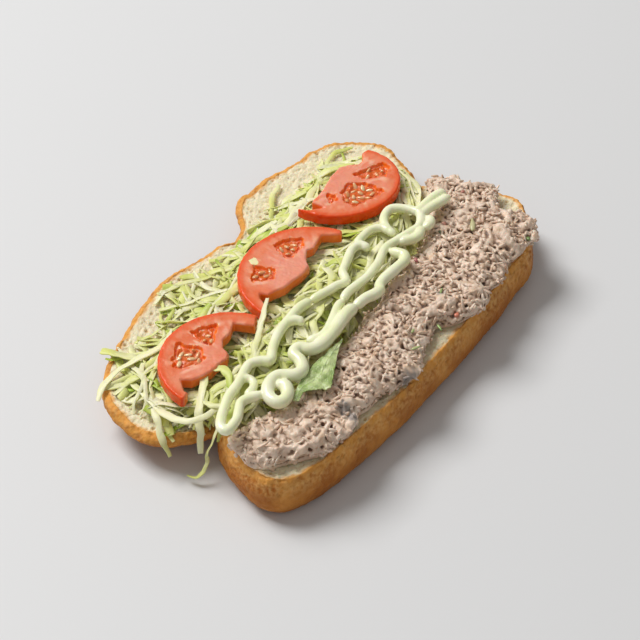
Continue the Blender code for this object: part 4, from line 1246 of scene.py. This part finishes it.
# %% Tomato finish
SLICES = {
    "tomato_slice_1": ((-78.2, 1.8), (35.5, 35.5), 0, [
        [(-72.4, 28.4), (-66.7, 25.7), (-61.9, 21.7), (-68.4, 17.7), (-74.4, 15.7), (-74.8, 21.1)],
        [(-82.1, 29), (-82.9, 25.4), (-79.6, 19.4), (-83.4, 13.5), (-86.4, 12.5), (-94.8, 17.7),
         (-96.9, 21.7), (-90.7, 25.4)]]),
    "tomato_slice_2": ((-2.6, 1.5), (39.2, 39.2), 0, [
        [(5.8, 31.4), (12.8, 27.4), (17.8, 22), (11.1, 18.2), (1.9, 19.5), (2.7, 24.1)],
        [(-13.9, 30.1), (-12.7, 26.3), (-11, 19.6), (-15.4, 17.6), (-20.5, 21), (-23.4, 24.5)]]),
    "tomato_slice_3": ((70.6, 31.1), (34.2, 30.0), -33.8, [
        [(79.7, 26.7), (88.8, 23.1), (96.6, 19.6), (94.6, 15.7), (88.2, 13.3), (83.8, 16.8), (79.4, 22.4)],
        [(70.4, 25.8), (61.8, 23.4), (56.9, 18.6), (56.9, 13.2), (67.2, 8.9), (75.4, 7.2), (77.1, 12.1),
         (75.5, 19.9)],
        [(56.2, 29.2), (58.3, 26.5), (55.7, 24.5), (52.4, 25.7)]]),
}
FLESH = (0.80, 0.175, 0.065)
FLESH_PALE = (0.95, 0.58, 0.40)
HEART_PINK = (0.88, 0.38, 0.28)
BIT_CREAM = (0.88, 0.82, 0.46)
SKIN_RED = (0.80, 0.080, 0.005)
GEL_RED = (0.70, 0.12, 0.008)
WALL_ORANGE = (0.94, 0.20, 0.005)
SEED_CREAM = (0.92, 0.70, 0.40)
SEED_AMBER = (0.80, 0.36, 0.14)


def make_tomato_finish():
    """Wet flesh with pale streaks, glossy skin, orange-red gel, and orange walls that are partly painted
    glow.
    """
    finish, tree, speckle = new_finish("tomato", 120.0, 1100.0)
    flesh = tinted(tree, FLESH, ("streak", 1, FLESH_PALE), (speckle["Soft"], 0.25, FLESH_PALE),
                   ("heart", 0.65, HEART_PINK), ("gel", 1, GEL_RED), ("wall", 1, WALL_ORANGE),
                   ("skin", 1, SKIN_RED), ("bit", 1, BIT_CREAM))
    return complete(finish, (speckle["Height"], 0.16, 0.0005), {
        "Base Color": flesh, "Roughness": 0.26, "Specular IOR Level": 0.28,
        "Coat Weight": 0.08, "Coat Roughness": 0.12}, (0.5, (1.0, 0.28, 0.12), 0.004))


def make_seed_finish():
    """Pale seeds in a film of gel."""
    finish, tree, speckle = new_finish("tomato_seed", 300.0, 1500.0)
    return complete(finish, (speckle["Fine"], 0.1, 0.0003), {
        "Base Color": tinted(tree, SEED_CREAM, ("tone", 1, SEED_AMBER)), "Roughness": 0.2,
        "Coat Weight": 0.6}, (0.3, (1.0, 0.5, 0.2), 0.001))


tomato_finish = make_tomato_finish()
seed_finish = make_seed_finish()

# %% Tomato slices
FLESH_VOXEL = 0.45
CHAMBER_DEEP = 1.9
CHAMBER_REACH = 3.0
BIT_RADIUS = 2.7
HEART_SHARES = (0.5, 1.0, 0.8)
SEED_SHAPES = ((4.0, 1.9, 1.3), (3.4, 2.0, 1.3), (4.5, 1.7, 1.2))
SEED_GAP = 3.5
seed_shapes = lump_collection("seed_shapes", SEED_SHAPES, 40, 0.12)


def depth_inside(points, outline):
    """How far points are inside a closed outline in plan, and below 0 outside it."""
    start = np.array(outline, float)
    run = np.roll(start, -1, axis=0) - start
    away = np.full(len(points), 1e9)
    crossings = np.zeros(len(points), int)
    for (sx, sy), (rx, ry) in zip(start, run):
        dx, dy = points[:, 0] - sx, points[:, 1] - sy
        share = np.clip((dx * rx + dy * ry) / (rx * rx + ry * ry), 0, 1)
        away = np.minimum(away, np.hypot(dx - share * rx, dy - share * ry))
        if ry:
            crossings += ((dy >= 0) != (dy - ry >= 0)) & (dx < dy / ry * rx)
    return np.where(crossings % 2 == 1, away, -away)


def round_bit(points, bit, cut_top):
    """Round off the pale bit that lies on a slice, by moving its points."""
    middle = points[bit > 0.5].mean(axis=0)
    away = points[:, :2] - middle[:2]
    angle = np.arctan2(away[:, 1], away[:, 0])
    share = np.hypot(*away.T) / (BIT_RADIUS * (1 + 0.12 * np.sin(3 * angle + 1)))
    held = bit > 0
    points[held, :2] = (middle[:2] + away / np.maximum(share, 1.0)[:, None])[held]
    points[held, 2] -= (np.minimum(share, 1.0) ** 2 * 0.5 * (points[:, 2] - cut_top))[held]


def make_slice(name, number, centre, radii, turn, chambers):
    """One slice, with its chambers' floors uneven and its parts painted on."""
    piece = fine_skin(welded_copy(name, name + "_flesh"), FLESH_VOXEL, 4)
    points = points_of(piece.data)
    push = normals_of(piece.data)
    tilt = math.radians(turn)
    dx, dy = points[:, 0] - centre[0], points[:, 1] - centre[1]
    along = (dx * math.cos(tilt) + dy * math.sin(tilt)) / radii[0]
    across = (dy * math.cos(tilt) - dx * math.sin(tilt)) / radii[1]
    out = np.hypot(along, across)
    top = ease(0.2, 0.8, push[:, 2])
    cut_top = np.median(points[push[:, 2] > 0.95, 2])
    bit = ease(0.3, 0.7, points[:, 2] - cut_top)
    depth = np.max([depth_inside(points, outline) for outline in chambers], axis=0)
    depth += mixed_noise(points * (1, 1, 0.2), (3.2, 88 + number, 1.3), (1.4, 86 + number, 0.5))
    gel = ease(-0.5, 0.5, depth) * ease(0.6, 1.2, cut_top - points[:, 2] + 1.0 * (depth > 0.6))
    away = np.maximum(out, 0.01)
    ray = np.column_stack([along / away * 9.0, across / away * 9.0, out * 5])
    near_seed = np.exp(-np.clip(-depth, 0, None) / 2.2)
    streak = ease(-0.05, 0.45, lattice_noise(ray, 1.0, 90 + number)) * top
    streak *= np.clip(near_seed + 0.5 * ease(0.25, 0.5, out) * (1 - ease(0.7, 0.86, out)), 0, 1)
    bumps = mixed_noise(points, (5.5, 93 + number, 0.25), (1.6, 96 + number, 0.12))
    sunk = np.minimum(points[:, 2], cut_top - CHAMBER_DEEP * ease(-1.3, -0.4, depth))
    floor_gel = ease(-0.2, 1.2, depth) * (0.75 + 0.8 * lattice_noise(points, 2.6, 99))
    points[:, 2] = np.where(points[:, 2] > cut_top - CHAMBER_REACH, sunk + floor_gel, points[:, 2])
    points = points + push * bumps[:, None]
    if (bit > 0.5).any():
        round_bit(points, bit, cut_top)
    put_points(piece.data, points)
    skin = ease(0.955, 0.985, out) * (1 - top * 0.5) + ease(0.87, 0.95, out) * 0.6 * top
    heart = ease(0.85, 0.45, out + 0.15 * lattice_noise(points, 7, 101))
    # The chamber walls and the cut sides are painted brighter orange: partly the flesh's own colour, partly
    # painted glow of light shining through the flesh.
    walls = ease(-1.7, -1.0, depth) * (1 - ease(-0.6, 0.4, depth))
    walls *= ease(cut_top - 4, cut_top - 3, points[:, 2])
    sides = ease(0.5, 0.1, np.abs(push[:, 2])) * (1 - ease(0.94, 0.97, out))
    for label, values in (("skin", np.clip(skin, 0, 1)), ("streak", streak), ("bit", bit),
                          ("heart", HEART_SHARES[number] * heart), ("gel", gel * 0.9),
                          ("wall", np.maximum(walls, 0.8 * sides) * 0.9),
                          ("room", ease(0.1, 0.8, depth) * top * (1 - bit))):
        paint(piece.data, label, values)
    piece.data.materials.append(tomato_finish)
    return piece


for number, (name, measures) in enumerate(SLICES.items()):
    piece = make_slice(name, number, *measures)
    seeds = strewn(piece, name + "_seeds", seed_shapes, SEED_GAP, Smallest=1.05, Largest=1.35, Tilt=0.4,
                   Seed=7 + number, Finish=seed_finish)
    for item in (piece, seeds):
        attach(item, "root")
        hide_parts(name)
    print(name, len(piece.data.polygons), "faces and", len(seeds.data.polygons), "for its seeds")
drop_shapes(seed_shapes)

# %% [markdown]
# ## Mayonnaise
# It was piped from a narrow nozzle in one wandering line that doubles back along the middle. The
# line's routes are swept as round ropes that rest on the food, fused by a remesh so that crossings flow
# together, and softened.

# %% Mayonnaise
MAYO_PALE = (0.96, 0.96, 0.69)
MAYO_GREEN = (0.78, 0.82, 0.40)
ROPE_STEP = 1.3
ROPE_ROUNDING = 5
MAYO_VOXEL = 0.5
# Each rope is its radius and its route in plan, in millimetres.
MAYO_ROPES = [
    (2.6, [(-22, -10.7), (-28.9, -9.2), (-35, -8.9), (-42.5, -9.6), (-49.6, -10.2), (-56.5, -12.2),
           (-63.4, -15), (-69.8, -18.3), (-72.6, -14.5), (-77.4, -11.1), (-83.3, -11.9), (-89, -13.5),
           (-95.3, -14.7), (-102.4, -15.7), (-109, -18), (-115.9, -20.9), (-120.9, -24.3),
           (-121.3, -28.4), (-113.1, -28), (-107.5, -25.4), (-102.4, -23.1), (-97.5, -24.7),
           (-92.3, -28.9)]),
    (2.5, [(-43.5, -9.7), (-39.7, -11.5), (-37.6, -14.4), (-39.5, -16.5)]),
    (2.2, [(-89.1, -13.8), (-86.3, -16.1), (-87, -19.9), (-90.8, -22.2), (-97.1, -22.6)]),
    (3.3, [(-14.3, -32.9), (-21, -32.4), (-27.7, -33), (-35, -33.9), (-41.6, -34.4), (-48.1, -33.9),
           (-53.2, -31.4), (-55.5, -26), (-60.6, -26.1), (-62.8, -31.5), (-67.3, -35.9),
           (-72.1, -35.4), (-74.8, -31.9), (-77.4, -28.3), (-82.3, -27.4), (-87.9, -29.1),
           (-92.1, -33), (-93.2, -38), (-90.3, -40.2), (-85.2, -39.1), (-81.2, -34.5),
           (-84.1, -31.8)]),
    (2.4, [(-13.4, -24.8), (-18.7, -25.3), (-24.7, -27.2), (-30.8, -29), (-36.7, -30.7), (-42, -30.4),
           (-48.8, -26.2)]),
    (2.4, [(-22, -10.7), (-16.1, -12.6), (-10.5, -14.5), (-5.1, -16), (-0.9, -18.5), (1.8, -16.7),
           (5.3, -12.8), (10.9, -10.9), (16.5, -9), (22.2, -7.3), (26.7, -7.7), (29, -10.2),
           (28.2, -14.6)]),
    (2.3, [(27.5, -8.5), (30.4, -6.5), (35.4, -6.2), (40.9, -6.6), (45, -9.1), (46.6, -12.6),
           (45.4, -17.3)]),
    (2.4, [(45.2, -20.2), (46.7, -15.4), (50, -10.5), (55.1, -7.3), (60.8, -6.4), (64.2, -8.5),
           (67, -14.7), (67.2, -21.9), (62.6, -25.8), (57.4, -27.3), (52.5, -26.4), (47.3, -25.1),
           (42.1, -23.8), (37.1, -22.4), (32.4, -21.7), (27.2, -23), (21.5, -24.7), (15.3, -25.5),
           (8.8, -25.8), (2.8, -25.2), (-2.7, -24.3), (-7.9, -23.8), (-13.4, -24.8)]),
    (2.6, [(66, -18), (68.9, -20.8), (75.2, -21), (81.8, -21.5), (87.2, -22.9), (90.3, -24.9)]),
    (2.6, [(66, -23), (73.9, -24.6), (79.5, -26.3), (84.9, -27.6), (88.5, -27.7)]),
    (2.6, [(58.1, -30.2), (61.6, -31.4), (65.3, -30.3), (66.5, -26.8)]),
    (2.6, [(57.4, -29), (52.6, -31), (48.1, -30.7), (44.5, -27.9), (40.9, -25.1)]),
    (2.9, [(33, -25), (32.8, -29.5), (33.1, -33.2), (29.6, -35.6), (23.5, -35.3), (17.3, -34.7),
           (11.2, -34.2), (5.9, -35), (3.2, -37), (-1.5, -36.1), (-6, -34.1), (-14.3, -32.9)]),
]


def open_curve(points, step):
    """Evenly spaced points on a smooth open curve through the given ones."""
    given = np.asarray(points, float)
    fine, along = smooth_path(np.vstack([2 * given[0] - given[1], given, 2 * given[-1] - given[-2]]))
    return rows_at(np.linspace(0, along[-1], int(along[-1] / step) + 1), along, fine)


def make_mayonnaise_finish():
    """Smooth, glossy and slightly green."""
    finish, tree, speckle = new_finish("mayonnaise", 70.0, 500.0)
    shade = tinted(tree, MAYO_PALE, (speckle["Soft"], 0.5, MAYO_GREEN))
    return complete(finish, (speckle["Soft"], 0.05, 0.0006), {
        "Base Color": shade, "Roughness": 0.3, "Coat Weight": 0.25}, (0.4, (0.8, 1.0, 0.6), 0.002))


mayo_top = spread(height_map([nodes["mayonnaise"]]), 1)
ropes = bpy.data.curves.new("mayonnaise_ropes", "CURVE")
ropes.dimensions = "3D"
ropes.bevel_depth = MM
ropes.bevel_resolution = ROPE_ROUNDING
ropes.use_fill_caps = True
for k, (radius, route) in enumerate(MAYO_ROPES):
    path = open_curve(route, ROPE_STEP)
    level = rounded(look_up(mayo_top, *path.T) - radius, 6)
    spline = ropes.splines.new("POLY")
    spline.points.add(len(path) - 1)
    swell = radius * (1.04 + 0.1 * lattice_noise(np.column_stack([path, level]), 9, 130 + k))
    ends = np.minimum(np.arange(len(path)), np.arange(len(path))[::-1]) * ROPE_STEP
    swell *= 0.5 + 0.5 * np.sqrt(np.clip(ends / radius, 0, 1))
    for point, place, height, width in zip(spline.points, path, level, swell):
        point.co = (*(place * MM), height * MM, 1.0)
        point.radius = width
mayo = fine_skin(settle(linked("mayonnaise_ropes", ropes), "mayonnaise_line"), MAYO_VOXEL, 5)
mayo.data.materials.clear()
mayo.data.materials.append(make_mayonnaise_finish())
mayo.data.shade_smooth()
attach(mayo, "root")
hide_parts("mayonnaise")
print("mayonnaise", len(mayo.data.polygons), "faces")

# %% [markdown]
# ## Torn leaf
# One larger piece of leaf pokes out from under the mayonnaise toward the tuna. It is a fine grid
# laid over the solid model's leaf, with a midrib, side veins and a ragged edge.

# %% Leaf
LEAF_STATIONS = [((-36.9, -39.7), (-37.4, -40.3)), ((-43.6, -39), (-44.3, -42.6)),
                 ((-50.9, -38.4), (-52.4, -46.5)), ((-57.6, -37.5), (-60.8, -50.9)),
                 ((-62.5, -38), (-69.7, -54.9)), ((-68.4, -38.2), (-73.6, -51.1)),
                 ((-74, -38.8), (-76.5, -47.3)), ((-81.4, -41), (-79, -44.5)),
                 ((-87, -43.5), (-85.5, -46))]
LEAF_GREEN = (0.26, 0.38, 0.09)
LEAF_LIGHT = (0.60, 0.68, 0.33)
LEAF_VEIN = (0.58, 0.70, 0.34)
LEAF_ALONG, LEAF_ACROSS = 110, 40
LEAF_THICK = 0.5
LEAF_SUNK = 0.9
RIB_AT = 0.42
CRINKLE_HIGH = 1.2
VEIN_HIGH = 0.35
SMOOTHINGS = 30


def make_leaf_finish():
    """Green leaf with paler veins."""
    finish, tree, speckle = new_finish("leaf", 160.0, 900.0)
    shade = tinted(tree, LEAF_GREEN, (speckle["Soft"], 1, LEAF_LIGHT), ("vein", 1, LEAF_VEIN))
    return complete(finish, (speckle["Fine"], 0.3, 0.0004), {
        "Base Color": shade, "Roughness": 0.38}, (0.3, (0.7, 1.0, 0.3), 0.001))


leaf_map = spread(height_map([nodes["lettuce_leaf"]]), 2)
stations = np.array(LEAF_STATIONS, float)
grid_u, grid_v = np.meshgrid(np.linspace(0, len(stations) - 1, LEAF_ALONG), np.linspace(0, 1, LEAF_ACROSS),
                             indexing="ij")
left, right = (rows_at(grid_u.ravel(), range(len(stations)), stations[:, side]) for side in (0, 1))
zeros = np.zeros(grid_u.size)
ragged = lattice_noise(np.column_stack([grid_u.ravel(), zeros, zeros]), 0.35, 150)
share = grid_v.ravel() * (0.93 + 0.07 * ragged)
flat = left + (right - left) * share[:, None]
level = look_up(leaf_map, flat[:, 0], flat[:, 1]).reshape(grid_u.shape)
for _ in range(SMOOTHINGS):
    padded = np.pad(level, 1, mode="edge")
    level = (padded[:-2, 1:-1] + padded[2:, 1:-1] + padded[1:-1, :-2] + padded[1:-1, 2:] + 4 * level) / 8
crinkle = lattice_noise(np.column_stack([flat, level.ravel()]), 4.5, 151) * CRINKLE_HIGH
side_vein = np.abs(np.sin((grid_u * 2.1 + grid_v * 1.4) * math.pi)).ravel()
veins = np.maximum(1 - ease(0.0, 0.22, side_vein), 1 - ease(0.0, 0.05, np.abs(grid_v.ravel() - RIB_AT)))
leaf_points = np.column_stack([flat, level.ravel() - LEAF_SUNK + crinkle + veins * VEIN_HIGH])
leaf_faces = [(a, a + 1, a + LEAF_ACROSS + 1, a + LEAF_ACROSS) for i in range(LEAF_ALONG - 1)
              for a in range(i * LEAF_ACROSS, (i + 1) * LEAF_ACROSS - 1)]
leaf = mesh_object("torn_leaf", leaf_points, leaf_faces, make_leaf_finish())
paint(leaf.data, "vein", veins * 0.6)
leaf = thickened(leaf, LEAF_THICK, 0.0)
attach(leaf, "root")
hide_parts("lettuce_leaf")
print("leaf", len(leaf.data.polygons), "faces")

# %% [markdown]
# ## Finish
# The shreds' cross-section has done its work and is removed.

# %% Finish
bpy.data.objects.remove(profile, do_unlink=True)
